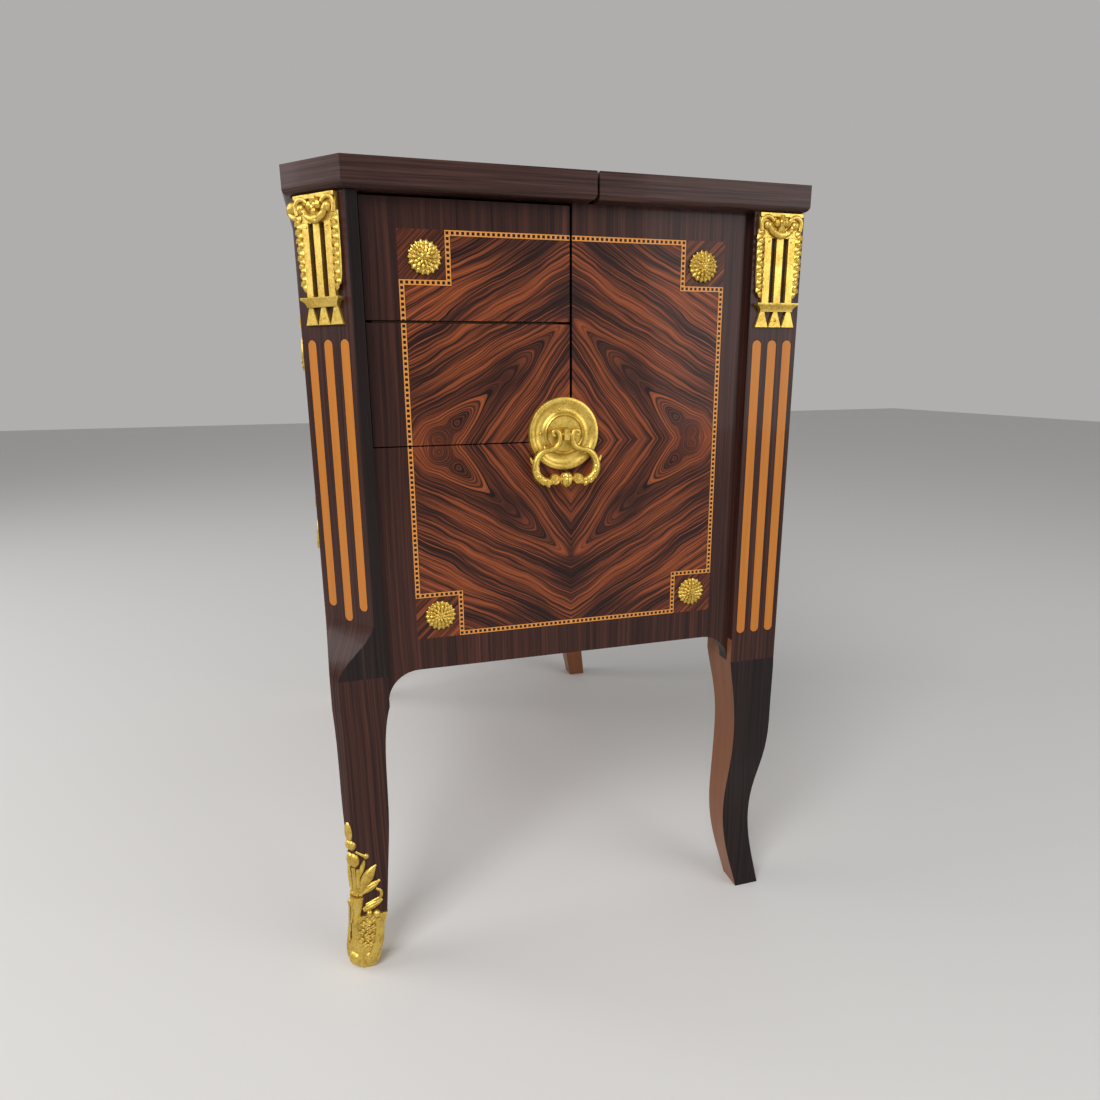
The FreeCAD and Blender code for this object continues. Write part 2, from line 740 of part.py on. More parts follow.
bow_plane = "front_y - escutcheon_thick - slide_gap - bow_ring - bow_wire"
shank_end = "%s - slide_gap / 2" % bolt_back
bow_spots = [("tip", key_tip, "key_height"), ("upper", bow_plane, "key_height + bow_spread"),
             ("lower", bow_plane, "key_height - bow_spread")]
bow_discs = [rod("bow_disc_" + name, "bow_ring + bow_wire", "bow_wire * 2", ("-(bow_wire)", y, z),
                 AXIS_Y, QUARTER) for name, y, z in bow_spots]
bow_holes = [rod("bow_hole_" + name, "bow_ring - bow_wire", "bow_wire * 4", ("-(bow_wire) * 2", y, z),
                 AXIS_Y, QUARTER) for name, y, z in bow_spots]
shank = rod("key_shank", "shank_radius", "(%s) - (%s) - bow_ring / 2" % (shank_end, bow_plane),
            ("0", shank_end, "key_height"), AXIS_X, QUARTER)
bit = block("key_bit", ("-(bit_width) / 2", "bit_width / 2"),
            ("%s + slide_gap / 2" % bolt_front, shank_end), ("key_height - bit_reach", "key_height"))
keep(cut("key", fuse("key_blank", [shank, bit, *bow_discs]), fuse("bow_openings", bow_holes)))
plate_low = "key_height - escutcheon_length + escutcheon_half"
keyhole_plate = fuse("keyhole_plate", [
    rod("plate_head", "escutcheon_half", "escutcheon_thick", ("0", "front_y", "key_height"),
        AXIS_X, QUARTER),
    rod("plate_foot", "escutcheon_half / 2", "escutcheon_thick",
        ("0", "front_y", "%s + escutcheon_half / 2" % plate_low), AXIS_X, QUARTER),
    block("plate_neck", ("-(escutcheon_half) / 2", "escutcheon_half / 2"),
          ("front_y - escutcheon_thick", "front_y"),
          ("%s + escutcheon_half / 2" % plate_low, "key_height")),
])
plate_hole = rod("plate_hole", "shank_radius + running_gap", "front_thick",
                 ("0", "front_y + front_thick / 2", "key_height"), AXIS_X, QUARTER)
keep(cut("escutcheon", keyhole_plate, plate_hole))


# Bail handles: round stepped plate with a stud, and a bail hung on two pins in the stud
# Each row is a corner of the turned outline: how far it stands out and its radius, as shares of the
# plate's step and radius.
PLATE_SHARES = [(0.0, 1.0), (1.2, 1.0), (2.0, 0.96), (2.0, 0.88), (1.3, 0.83), (1.0, 0.66), (1.3, 0.58),
                (2.4, 0.54), (2.4, 0.47), (1.8, 0.43), (1.8, 0.0)]


def turned(label, radius, rise, shares):
    """Round piece turned from an outline, standing on its flat back."""
    body = doc.addObject("PartDesign::Body", label)
    points = [("0", "0")]
    for out, wide in shares:
        points.append(("-(%s) * %s" % (rise, out), "%s * %s" % (radius, wide)))
    profile = outline(body, label + "_profile", "YZ_Plane", points)
    spun = body.newObject("PartDesign::Revolution", label + "_turning")
    spun.Profile = profile
    spun.ReferenceAxis = (profile, ["H_Axis"])
    profile.Visibility = False
    return body


def handle_plate(label, where, angle):
    bore = rod(label + "_bore", "bail_pin_radius + running_gap", "stud_radius * 4",
               ("-(stud_radius) * 2", "-(pivot_reach)", "0"), AXIS_Y, QUARTER)
    solid = fuse(label + "_solid", [
        turned(label + "_disc", "handle_plate_radius", "plate_step", PLATE_SHARES),
        rod(label + "_stud", "stud_radius", "stud_reach", ("0", "0", "0"), AXIS_X, QUARTER),
    ])
    item = cut(label, solid, bore)
    turn(item, AXIS_Z, angle)
    place(item, *where)
    return item


def bail(label, where, angle):
    """Bent rod from one side of the stud round to the other, with a knop and two pins."""
    half, drop = "bail_half", "bail_drop"
    body = doc.addObject("PartDesign::Body", label + "_rod")
    near = "stud_radius + end_gap"
    bend = "%s - bail_bend" % half
    path = [
        (near, "0"),
        (bend, "0"),
        (half, "-(bail_bend)"),
        (half, "-(%s)" % drop),
        ("0", "-(%s) - (%s)" % (drop, half)),
        ("-(%s)" % half, "-(%s)" % drop),
        ("-(%s)" % half, "-(bail_bend)"),
        ("-(%s)" % bend, "0"),
        ("-(%s)" % near, "0"),
    ]
    arcs = {1: ("bail_bend", -1), 3: (half, -1), 4: (half, -1), 6: ("bail_bend", -1)}
    spine = outline(body, label + "_path", "XZ_Plane", path, "pivot_reach", arcs, closed=False)
    section = body.newObject("Sketcher::SketchObject", label + "_section")
    section.AttachmentSupport = [(origin_plane(body, "YZ_Plane"), "")]
    section.MapMode = "FlatFace"
    section.setExpression("AttachmentOffset.Base.z", bind(near))
    spot = FreeCAD.Vector(-value("pivot_reach"), 0, 0)
    section.addGeometry(Part.Circle(spot, FreeCAD.Vector(*AXIS_Z), value("bail_wire")), False)
    pin_point(section, 0, 3, "-(pivot_reach)", "0")
    size = section.addConstraint(Sketcher.Constraint("Radius", 0, value("bail_wire")))
    section.setExpression("Constraints[%d]" % size, bind("bail_wire"))
    pipe = body.newObject("PartDesign::AdditivePipe", label + "_pipe")
    pipe.Profile = section
    pipe.Spine = (spine, ["Edge%d" % (i + 1) for i in range(len(path) - 1)])
    knop_foot = "-(%s) - (%s) - bail_knop" % (drop, half)
    pieces = [body, rod(label + "_knop", "bail_knop", "bail_knop * 2", ("0", "-(pivot_reach)", knop_foot))]
    for end, tip in (("right", "end_gap"), ("left", "-(%s) + bail_bend" % half)):
        pieces.append(rod("%s_pin_%s" % (label, end), "bail_pin_radius", "%s - bail_bend - end_gap" % half,
                          (tip, "-(pivot_reach)", "0"), AXIS_Y, QUARTER))
    item = fuse(label, pieces)
    turn(item, AXIS_Z, angle)
    place(item, *where)
    return item


for tier in ("upper", "lower"):
    plates = []
    for side, end in (("", "right"), ("-", "left")):
        where = ("%s handle_place" % side, "front_y", tier + "_handle_height")
        plates.append(handle_plate("%s_plate_%s" % (tier, end), where, 0))
        keep(bail("%s_bail_%s" % (tier, end), where, 0))
    keep(group(tier + "_handle_plates", plates))


# End drawers
ROSETTE_SHARES = [(0.0, 1.0), (0.45, 1.0), (0.7, 0.8), (0.85, 0.55), (0.7, 0.38), (1.0, 0.25), (1.0, 0.0)]


def rosette(label, where, angle):
    """Round gilt boss with a raised middle."""
    item = turned(label, "rosette_radius", "rosette_thick", ROSETTE_SHARES)
    turn(item, AXIS_Z, angle)
    place(item, *where)
    return item


rosette_front = "side_seam_y - frame_half_width + frame_notch / 2"
rosette_back = "side_seam_y + frame_half_width - frame_notch / 2"
rosette_high = "drawer_seam_height + frame_half_height - frame_notch / 2"
rosette_low = "drawer_seam_height - frame_half_height + frame_notch / 2"
end_front = "post_front_inner_y + slide_gap"
end_back = "side_seam_y - moving_gap / 2"
tiers = [
    ("side_upper", "side_seam_height + moving_gap / 2", "top_under - moving_gap",
     "shelf_top", "bay_ceiling - slide_gap"),
    ("side_lower", "drawer_seam_height + moving_gap / 2", "side_seam_height - moving_gap / 2",
     "middle_top", "shelf_under - slide_gap"),
]
for side, end, angle in ((1, "right", QUARTER), (-1, "left", -QUARTER)):
    face = span("panel_inner_x", "panel_x", side)
    room = span("panel_inner_x - side_box_length", "panel_inner_x", side)
    outer = "%s panel_x" % ("" if side > 0 else "-")
    for name, low, high, box_low, box_high in tiers:
        keep(block("%s_%s_front" % (name, end), face, (end_front, end_back), (low, high)))
        keep(drawer_box("%s_%s_box" % (name, end), room,
                        ("%s + thin_board" % end_front, "%s - thin_board" % end_back), (box_low, box_high),
                        "high_x" if side > 0 else "low_x"))
    keep(rosette("side_upper_%s_rosette" % end, (outer, rosette_front, rosette_high), angle))
    keep(group("side_rosettes_" + end, [
        rosette("rosette_back_high_" + end, (outer, rosette_back, rosette_high), angle),
        rosette("rosette_front_low_" + end, (outer, rosette_front, rosette_low), angle),
        rosette("rosette_back_low_" + end, (outer, rosette_back, rosette_low), angle),
    ]))
    grip = (outer, "side_seam_y - side_handle_shift", "drawer_seam_height + side_handle_shift")
    keep(handle_plate("side_plate_" + end, grip, angle))
    keep(bail("side_bail_" + end, grip, angle))


# Gilt chute mounts at the heads of the posts
# Each row is a strip across or along the mount: middle and half width, lower and upper end, and depth,
# as shares of the mount's width, height and plate.
CHUTE_SHARES = [
    ("plate", 0.0, 0.50, 0.76, 0.96, 1.0),
    ("cap", 0.0, 0.50, 0.92, 1.00, 2.4),
    ("cornice", 0.0, 0.55, 0.17, 0.25, 2.8),
    ("bar_front", -0.34, 0.10, 0.20, 0.80, 2.0),
    ("bar_middle", 0.0, 0.10, 0.20, 0.80, 2.0),
    ("bar_back", 0.34, 0.10, 0.20, 0.80, 2.0),
]
FLOWER_RADIUS_SHARE = 0.40
FLOWER_LEVEL_SHARE = 0.80
FLOWER_DEPTH_SHARE = 3.0
DROP_PLACE_SHARES = (-0.34, 0.0, 0.34)
DROP_FOOT_SHARE = 0.14
DROP_HEAD_SHARE = 0.05
DROP_HEIGHT_SHARE = 0.18


def chute(label, where, angle):
    """Mount with a flower head, three bars, a small cornice and three drops."""
    pieces = [rod(label + "_flower", "chute_width * %s" % FLOWER_RADIUS_SHARE,
                  "chute_plate * %s" % FLOWER_DEPTH_SHARE,
                  ("0", "0", "chute_height * %s" % FLOWER_LEVEL_SHARE), AXIS_X, QUARTER)]
    for name, middle, half, low, high, depth in CHUTE_SHARES:
        across = ("chute_width * (%s - %s)" % (middle, half), "chute_width * (%s + %s)" % (middle, half))
        pieces.append(block("%s_%s" % (label, name), across, ("-(chute_plate) * %s" % depth, "0"),
                            ("chute_height * %s" % low, "chute_height * %s" % high)))
    for i, share in enumerate(DROP_PLACE_SHARES):
        drop = doc.addObject("Part::Cone", "%s_drop_%d" % (label, i))
        drop.setExpression("Radius1", bind("chute_width * %s" % DROP_FOOT_SHARE))
        drop.setExpression("Radius2", bind("chute_width * %s" % DROP_HEAD_SHARE))
        drop.setExpression("Height", bind("chute_height * %s" % DROP_HEIGHT_SHARE))
        place(drop, "chute_width * %s" % share, "0", "0")
        pieces.append(drop)
    solid = fuse(label + "_solid", pieces)
    wall = block(label + "_wall", ("-(chute_width)", "chute_width"), ("0", "chute_width"),
                 ("0", "chute_height"))
    item = cut(label, solid, wall)
    turn(item, AXIS_Z, angle)
    place(item, *where)
    return item


chute_foot = "top_under - leaf_gap - chute_height - slide_gap"
for side, end, sign in ((1, "right", ""), (-1, "left", "-")):
    keep(chute("chute_front_" + end, ("%s (post_x - post_cant / 2)" % sign, "post_front_y + post_cant / 2",
                                      chute_foot), side * HALF_QUARTER))
    keep(chute("chute_rear_" + end, ("%s post_x" % sign, "post_back_y - post_side / 2", chute_foot),
               side * QUARTER))

doc.recompute()

# Every part is checked and written
for item in doc.Objects:
    if "Invalid" in item.State or "Error" in item.State:
        raise RuntimeError("%s is not valid: %s" % (item.Label, item.State))
os.makedirs("parts", exist_ok=True)
for item in parts:
    if item.Shape.isNull() or not item.Shape.isValid():
        raise RuntimeError("no sound shape for " + item.Label)
    item.Shape.exportStep("parts/%s.step" % item.Label)
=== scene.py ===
import json
import math

import bmesh
import bpy
from mathutils import Matrix, Vector
from mathutils.bvhtree import BVHTree


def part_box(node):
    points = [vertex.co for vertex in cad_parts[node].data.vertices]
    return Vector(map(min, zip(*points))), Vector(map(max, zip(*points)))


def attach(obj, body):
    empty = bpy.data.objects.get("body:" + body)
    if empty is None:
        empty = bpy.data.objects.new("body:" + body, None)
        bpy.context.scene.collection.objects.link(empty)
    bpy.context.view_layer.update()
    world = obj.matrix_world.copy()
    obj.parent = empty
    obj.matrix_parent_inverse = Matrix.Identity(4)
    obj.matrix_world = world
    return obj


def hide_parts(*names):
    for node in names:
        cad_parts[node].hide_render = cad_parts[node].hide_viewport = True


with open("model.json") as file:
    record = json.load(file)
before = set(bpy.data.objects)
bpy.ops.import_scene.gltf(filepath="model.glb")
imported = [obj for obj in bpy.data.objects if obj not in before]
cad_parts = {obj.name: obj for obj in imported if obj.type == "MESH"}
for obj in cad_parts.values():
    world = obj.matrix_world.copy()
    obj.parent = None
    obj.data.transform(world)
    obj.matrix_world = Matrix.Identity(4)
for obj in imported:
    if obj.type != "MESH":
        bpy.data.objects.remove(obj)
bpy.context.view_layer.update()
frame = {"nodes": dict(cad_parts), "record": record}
NODES = frame["nodes"]
ENDS = (("right", 1), ("left", -1))

# Sizes of the posts and of the gaps, in metres, and where the desk's faces lie in the frame
POST_STAND = 0.009
POST_SIDE = 0.054
POST_CANT = 0.0445
DRAWER_GAP = 0.0012
TOP_OVERHANG = 0.001
PANEL_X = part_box("side_panel_right")[1].x
POST_X = PANEL_X + POST_STAND
FRONT_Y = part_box("lower_drawer_front")[0].y
POST_FRONT_Y = FRONT_Y - POST_STAND
TOP_FRONT_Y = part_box("top_leaf")[0].y
TOP_BACK_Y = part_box("rear_top")[1].y
POST_BACK_Y = TOP_BACK_Y - TOP_OVERHANG
CARCASS_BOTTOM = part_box("back_panel")[0].z
SEAM_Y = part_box("side_upper_right_front")[1].y + DRAWER_GAP
SEAM_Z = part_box("side_lower_right_front")[0].z - DRAWER_GAP
FRONT_SEAM_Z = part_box("upper_drawer_front")[0].z


# Shader maths
class Wire:
    """Socket of a node tree that adds and multiplies like a number."""

    def __init__(self, tree, socket=None):
        self.tree = tree
        self.socket = socket

    def node(self, kind, inputs, out=0, stops=(), **settings):
        """Any other node of the same tree, fed by wires, numbers or colours; stops fill a colour ramp."""
        made = self.tree.nodes.new(kind)
        for name, setting in settings.items():
            setattr(made, name, setting)
        for _ in stops[2:]:
            made.color_ramp.elements.new(1.0)
        for spot, (place, tone) in enumerate(stops):
            made.color_ramp.elements[spot].position = place
            made.color_ramp.elements[spot].color = tone
        for name, item in inputs.items():
            self.feed(item, made.inputs[name])
        return Wire(self.tree, made.outputs[out] if made.outputs else None)

    def feed(self, item, socket):
        if isinstance(item, Wire):
            self.tree.links.new(item.socket, socket)
        else:
            socket.default_value = item

    def beside(self, name):
        """Another output of the node that this wire comes from."""
        return Wire(self.tree, self.socket.node.outputs[name])

    def math(self, operation, other=0.0, third=0.0):
        return self.node("ShaderNodeMath", {0: self, 1: other, 2: third}, operation=operation)

    def __add__(self, other):
        return self.math("ADD", other)

    __radd__ = __add__

    def __sub__(self, other):
        return self.math("SUBTRACT", other)

    def __rsub__(self, other):
        return (self * -1) + other

    def __mul__(self, other):
        return self.math("MULTIPLY", other)

    __rmul__ = __mul__

    def __abs__(self):
        return self.math("ABSOLUTE")

    def __lt__(self, other):
        return self.math("LESS_THAN", other)

    def __gt__(self, other):
        return self.math("GREATER_THAN", other)

    def least(self, other):
        return self.math("MINIMUM", other)

    def most(self, other):
        return self.math("MAXIMUM", other)

    def length(self, other):
        """Length of the slanting side over two square legs."""
        return (self * self + other * other).math("SQRT")

    def repeat(self, pitch):
        """Distance to the nearest whole multiple of a pitch."""
        return abs(self.math("WRAP", pitch / 2, -pitch / 2))

    def step(self, low, high):
        """Smooth rise from 0 to 1 between two values."""
        return self.node("ShaderNodeMapRange", {"Value": self, "From Min": low, "From Max": high},
                         interpolation_type="SMOOTHSTEP")

    def vector(self, y=0.0, z=0.0):
        return self.node("ShaderNodeCombineXYZ", {0: self, 1: y, 2: z})

    def part(self, axis):
        return self.node("ShaderNodeSeparateXYZ", {0: self}, out=axis)

    def noise(self, scale=1.0, detail=2.0, roughness=0.5):
        """Noise read at this vector, from 0 to 1."""
        return self.node("ShaderNodeTexNoise", {"Vector": self, "Scale": scale, "Detail": detail,
                                                "Roughness": roughness})

    def mix(self, low, high):
        """Colour between two others, by this value."""
        return self.node("ShaderNodeMix", {0: self, 6: low, 7: high}, out=2, data_type="RGBA")

    def ramp(self, stops):
        """Colour picked from a row of stops."""
        return self.node("ShaderNodeValToRGB", {0: self}, stops=stops)


class Finish:
    """A new material with its coordinates at hand."""

    def __init__(self, name):
        self.material = bpy.data.materials.new(name)
        self.material.use_nodes = True
        tree = self.material.node_tree
        self.surface = tree.nodes["Principled BSDF"]
        self.place = Wire(tree).node("ShaderNodeTexCoord", {}, out="Object")
        self.x, self.y, self.z = [self.place.part(axis) for axis in range(3)]
        self.facing = [self.place.beside("Normal").part(axis) for axis in range(3)]

    def set(self, **values):
        """Set named inputs of the surface; words are joined by underscores."""
        for name, item in values.items():
            self.place.feed(item, self.surface.inputs[name.replace("_", " ")])
        return self.material

    def bump(self, height, depth):
        self.set(Normal=height.node("ShaderNodeBump", {"Height": height, "Distance": depth, "Strength": 1.0}))


def colour(red, green, blue):
    return (red, green, blue, 1.0)


DARK = colour(0.0130, 0.0048, 0.0040)
MEAN = colour(0.0480, 0.0140, 0.0085)
WARM = colour(0.1600, 0.0380, 0.0135)
LIGHT = colour(0.3200, 0.0780, 0.0230)
HONEY = colour(0.470, 0.170, 0.028)
HONEY_DEEP = colour(0.370, 0.120, 0.017)
BOXWOOD = colour(0.560, 0.225, 0.050)
EBONY = colour(0.008, 0.005, 0.004)
INNER_WOOD = colour(0.270, 0.105, 0.046)
INNER_WOOD_DARK = colour(0.150, 0.052, 0.024)

ROSEWOOD_STOPS = [(0.36, DARK), (0.48, MEAN), (0.58, WARM), (0.76, LIGHT)]
BORDER_STOPS = [(0.30, colour(0.012, 0.0055, 0.0050)), (0.50, colour(0.034, 0.0125, 0.0098)),
                (0.66, colour(0.066, 0.0215, 0.0140)), (0.82, colour(0.120, 0.036, 0.019))]
# Painted shade: near-black wood for faces that are to look shaded.
SHADE_STOPS = [(0.35, colour(0.006, 0.0042, 0.0042)), (0.60, colour(0.016, 0.0090, 0.0085)),
               (0.78, colour(0.055, 0.026, 0.020))]
EDGE_STOPS = [(0.34, colour(0.020, 0.0090, 0.0080)), (0.56, colour(0.050, 0.0230, 0.0185)),
              (0.76, colour(0.092, 0.044, 0.034))]
FIGURED_LINES = 470.0
FIGURED_SWAY = 12.5
STRAIGHT_LINES = 260.0
STRAIGHT_SWAY = 3.0


def figured(along, across, seed, stops):
    """Rosewood with bent figure: growth lines follow the grain and sway a little."""
    sway = (along * 8.0 + seed).vector(across * 14.0).noise(1.0, 3.0, 0.55)
    phase = across * FIGURED_LINES + sway * FIGURED_SWAY
    streak = phase.vector(along * 5.0, seed).noise(1.0, 4.0, 0.66)
    fine = (phase * 2.6).vector(along * 12.0, seed + 4.0).noise(1.0, 2.0, 0.6)
    band = (phase * 0.11).vector(along * 7.0, seed + 9.0).noise(1.0, 2.0, 0.5)
    return (streak + (fine - 0.5) * 0.55 + (band - 0.5) * 0.55).ramp(stops)


def straight(along, across, seed, stops):
    """Rosewood with straight grain."""
    sway = (along * 4.0 + seed).vector(across * 9.0).noise(1.0, 1.0, 0.5)
    phase = across * STRAIGHT_LINES + sway * STRAIGHT_SWAY
    streak = phase.vector(along * 2.0, seed).noise(1.0, 4.0, 0.66)
    fine = (phase * 4.0).vector(along * 12.0, seed + 2.0).noise(1.0, 3.0, 0.6)
    return (streak + (fine - 0.5) * 0.36).ramp(stops)


# Half sizes of the strung frames, with the square cut from their corners
END_FRAME = (0.1546, 0.1845)
FRONT_FRAME = (0.2484, 0.1449)
TOP_FRAME = (0.29, 0.18)
FRAME_NOTCH = 0.0414
STRING_HALF = 0.0023
DOT_HALF = 0.0013
LINE_HALF = 0.0004
DOTS_PER_NOTCH = 9
FLAME_SLOPE = 0.20
FLAME_ROUND = 0.006
KNOT_REACH = 0.024
KNOT_SHARE = (0.83, 0.03)
TIP_SHARE = (0.10, 0.56)
SQUARELY = 0.5


def flame(u, v, half_width, half_height, seed):
    """One matched leaf of veneer in each quarter, with pointed loops that run from a knot to the seam."""
    knot_u, knot_v = half_width * KNOT_SHARE[0], half_height * KNOT_SHARE[1]
    tip_u, tip_v = half_width * TIP_SHARE[0], half_height * TIP_SHARE[1]
    reach = math.hypot(tip_u - knot_u, tip_v - knot_v)
    run, rise = (tip_u - knot_u) / reach, (tip_v - knot_v) / reach
    from_u, from_v = abs(u) - knot_u, abs(v) - knot_v
    along = from_u * run + from_v * rise
    off = from_v * -run + from_u * rise
    from_knot = off.length(along)
    loops = off.length(FLAME_ROUND) + abs(along) * FLAME_SLOPE
    at_knot = 1 - from_knot.step(KNOT_REACH / 4, KNOT_REACH)
    across = loops + (from_knot - loops) * at_knot
    return figured(along, across, seed, ROSEWOOD_STOPS)


def notched(u, v, half_width, half_height, notch):
    """Signed distance to a rectangle with a square cut out of each corner."""
    wide = (abs(u) - half_width).most(abs(v) - (half_height - notch))
    tall = (abs(u) - (half_width - notch)).most(abs(v) - half_height)
    return wide.least(tall)


def strung(u, v, edge, half_width, half_height, wood):
    """Checker stringing laid along an edge over other wood."""
    pitch = FRAME_NOTCH / DOTS_PER_NOTCH
    strip = abs(edge) < STRING_HALF
    rim = (abs(edge) < STRING_HALF + LINE_HALF) - strip
    in_row = (abs(u) - half_width).repeat(pitch) < DOT_HALF
    in_column = (abs(v) - half_height).repeat(pitch) < DOT_HALF
    laid = (in_row * in_column).mix(BOXWOOD, EBONY)
    return strip.mix(rim.mix(wood, EBONY), laid)


def polished(finish, colours, roughness=0.30):
    """French polish over wood."""
    return finish.set(Base_Color=colours, Roughness=roughness, Specular_IOR_Level=0.16, Coat_Weight=0.07,
                      Coat_Roughness=0.05)


def marquetry(u, v, frame_size, seed, border):
    """Quartered rosewood in a checker-strung frame with square corners, inside a border."""
    half_width, half_height = frame_size
    edge = notched(u, v, half_width, half_height, FRAME_NOTCH)
    corner = straight(u + v, u - v, seed + 11.0, ROSEWOOD_STOPS)
    in_corner = (abs(u) < half_width + STRING_HALF) * (abs(v) < half_height + STRING_HALF)
    wood = (edge < 0.0).mix(in_corner.mix(border, corner), flame(u, v, half_width, half_height, seed))
    return strung(u, v, edge, half_width, half_height, wood)


def end_panel():
    """Marquetry of the ends, laid over the panel and its drawers alike; every edge is painted near black as
    shade in the gaps between the parts.
    """
    finish = Finish("end_panel_marquetry")
    border = straight(finish.z, finish.y, 7.0, BORDER_STOPS)
    face = marquetry(finish.y - SEAM_Y, finish.z - SEAM_Z, END_FRAME, 3.0, border)
    flat = abs(finish.facing[0]) > SQUARELY
    # Painted shade: the edges of the panel and its drawers get near-black wood, standing in for the shade in
    # the gaps.
    painted_shade_edge = straight(finish.z, finish.x + finish.y, 2.0, SHADE_STOPS)
    return polished(finish, flat.mix(painted_shade_edge, face))


def drawer_front():
    """The same marquetry turned to the front, laid over both drawers."""
    finish = Finish("drawer_front_marquetry")
    border = straight(finish.z, finish.x, 17.0, BORDER_STOPS)
    face = marquetry(finish.x, finish.z - FRONT_SEAM_Z, FRONT_FRAME, 21.0, border)
    flat = finish.facing[1] < -SQUARELY
    return polished(finish, flat.mix(border, face))


# Flutes, with their pitch and the heights at which the outer ones and the middle one end
FLUTE_HALF = 0.0048
FLUTE_TOP = 0.637
FLUTE_LINE = 0.0007
FRONT_FLUTES = (0.0196, 0.389, 0.3765)
REAR_FLUTES = (0.017, 0.327, 0.327)
FRONT_SKIN = 0.0006
REAR_SKIN = 0.0004
BRACKET_DROP = 0.004
KNEE_DROP = 0.03
DIAGONAL = math.sqrt(0.5)


def fluted(s, z, flutes, wood):
    """Three honey-coloured flutes with round ends and a dark outline."""
    pitch, outer, middle = flutes
    grain = (z * 9.0).vector(s * 260.0).noise(1.0, 3.0)
    foot = (abs(s) < pitch / 2) * (middle - outer) + outer
    beyond = (z - (FLUTE_TOP - FLUTE_HALF)).most(foot + FLUTE_HALF - z).most(0.0)
    reach = s.repeat(pitch).length(beyond) - FLUTE_HALF
    lanes = abs(s) < pitch * 1.5
    inside = (reach < 0.0) * lanes
    rim = (reach < FLUTE_LINE) * lanes - inside
    return inside.mix(rim.mix(wood, EBONY), grain.mix(HONEY_DEEP, HONEY))


def post_wood(finish, inward_y, shaded):
    """Straight-grained rosewood, near black where shaded; the legs' inner faces are plain sawn wood."""
    across = finish.x + finish.y * 1.3
    veneer = straight(finish.z, across, 5.0, BORDER_STOPS)
    # Painted shade: near-black wood wherever the shaded mask is set.
    wood = shaded.mix(veneer, straight(finish.z, across, 8.0, SHADE_STOPS))
    sawn = (finish.z * 420.0 + (finish.x + finish.y) * 180.0).vector(finish.z * 6.0).noise(1.0, 2.0)
    fibre = (finish.z * 6.0).vector(finish.x * 90.0, finish.y * 90.0).noise(1.0, 3.0)
    plain = (fibre * 0.75 + sawn * 0.25).mix(INNER_WOOD_DARK, INNER_WOOD)
    inward = (finish.facing[0] * finish.x < -0.1).most(finish.facing[1] * inward_y > 0.6)
    below = finish.z < CARCASS_BOTTOM - BRACKET_DROP
    return (inward * below).mix(wood, plain)


def front_post():
    """Canted post with three flutes on the cant and, beside it, a strip painted near black as shade."""
    finish = Finish("front_post_veneer")
    reach = (abs(finish.x) - finish.y - (POST_X - POST_FRONT_Y - POST_CANT)) * DIAGONAL
    s = (abs(finish.x) + finish.y - (POST_X + POST_FRONT_Y)) * DIAGONAL
    # Painted shade: the post's side face above the carcass bottom is painted near black.
    wood = post_wood(finish, 1, (abs(finish.x) > POST_X - FRONT_SKIN) * (finish.z > CARCASS_BOTTOM))
    on_cant = reach > -FRONT_SKIN
    return polished(finish, on_cant.mix(wood, fluted(s, finish.z, FRONT_FLUTES, wood)))


def rear_post():
    """Flat post with three flutes on its end face; its leg is painted near black as shade."""
    finish = Finish("rear_post_veneer")
    s = finish.y - (POST_BACK_Y - POST_SIDE / 2)
    # Painted shade: the leg below the knee is painted near black.
    wood = post_wood(finish, -1, finish.z < CARCASS_BOTTOM - KNEE_DROP)
    outer = abs(finish.x) > POST_X - REAR_SKIN
    return polished(finish, outer.mix(wood, fluted(s, finish.z, REAR_FLUTES, wood)))


def top_boards():
    """Top laid with crossbanding, a strung line and a quartered middle; plain dark edges."""
    finish = Finish("top_veneer")
    u, v = finish.x, finish.y - (TOP_FRONT_Y + TOP_BACK_Y) / 2
    face = marquetry(u, v, TOP_FRAME, 33.0, straight(v, u, 29.0, BORDER_STOPS))
    lines = (finish.x * 7.0).vector(finish.y * 7.0, finish.z * 520.0).noise(1.0, 4.0, 0.65)
    upper = finish.facing[2] > SQUARELY
    return polished(finish, upper.mix(lines.ramp(EDGE_STOPS), face))


def plain_rosewood():
    finish = Finish("plain_rosewood")
    return polished(finish, straight(finish.x, finish.z + finish.y, 13.0, BORDER_STOPS))


def carcass_oak():
    finish = Finish("carcass_oak")
    grain = (finish.x * 5.0).vector(finish.y * 60.0, finish.z * 60.0).noise(1.0, 4.0)
    wood = grain.ramp([(0.3, colour(0.20, 0.105, 0.045)), (0.7, colour(0.36, 0.215, 0.105))])
    finish.bump(grain, 0.0002)
    return finish.set(Base_Color=wood, Roughness=0.62)


def gilt():
    """Gilt bronze, even and bright, with random darker spots painted in as a mottled reflection."""
    finish = Finish("gilt_bronze")
    # Painted reflection: random darker spots in the colour stand in for the mottled reflection of the gilt.
    reflection_mottle = finish.place.noise(90.0, 3.0, 0.55) * 0.5 + finish.place.noise(520.0, 2.0, 0.6) * 0.5
    tone = reflection_mottle.ramp([(0.34, colour(0.40, 0.245, 0.036)), (0.50, colour(0.64, 0.44, 0.090)),
                         (0.66, colour(0.77, 0.57, 0.145))])
    finish.bump(finish.place.noise(1500.0, 2.0), 0.00006)
    return finish.set(Base_Color=tone, Metallic=0.9, Roughness=0.40)


def plain_brass():
    finish = Finish("plain_brass")
    wear = finish.place.noise(60.0, 3.0)
    tone = wear.mix(colour(0.38, 0.24, 0.07), colour(0.62, 0.44, 0.16))
    return finish.set(Base_Color=tone, Metallic=1.0, Roughness=0.34)


# Lines tooled in the leather: how far in from its edge, and half width
TOOLED_LINES = ((0.012, 0.0012), (0.016, 0.0004))


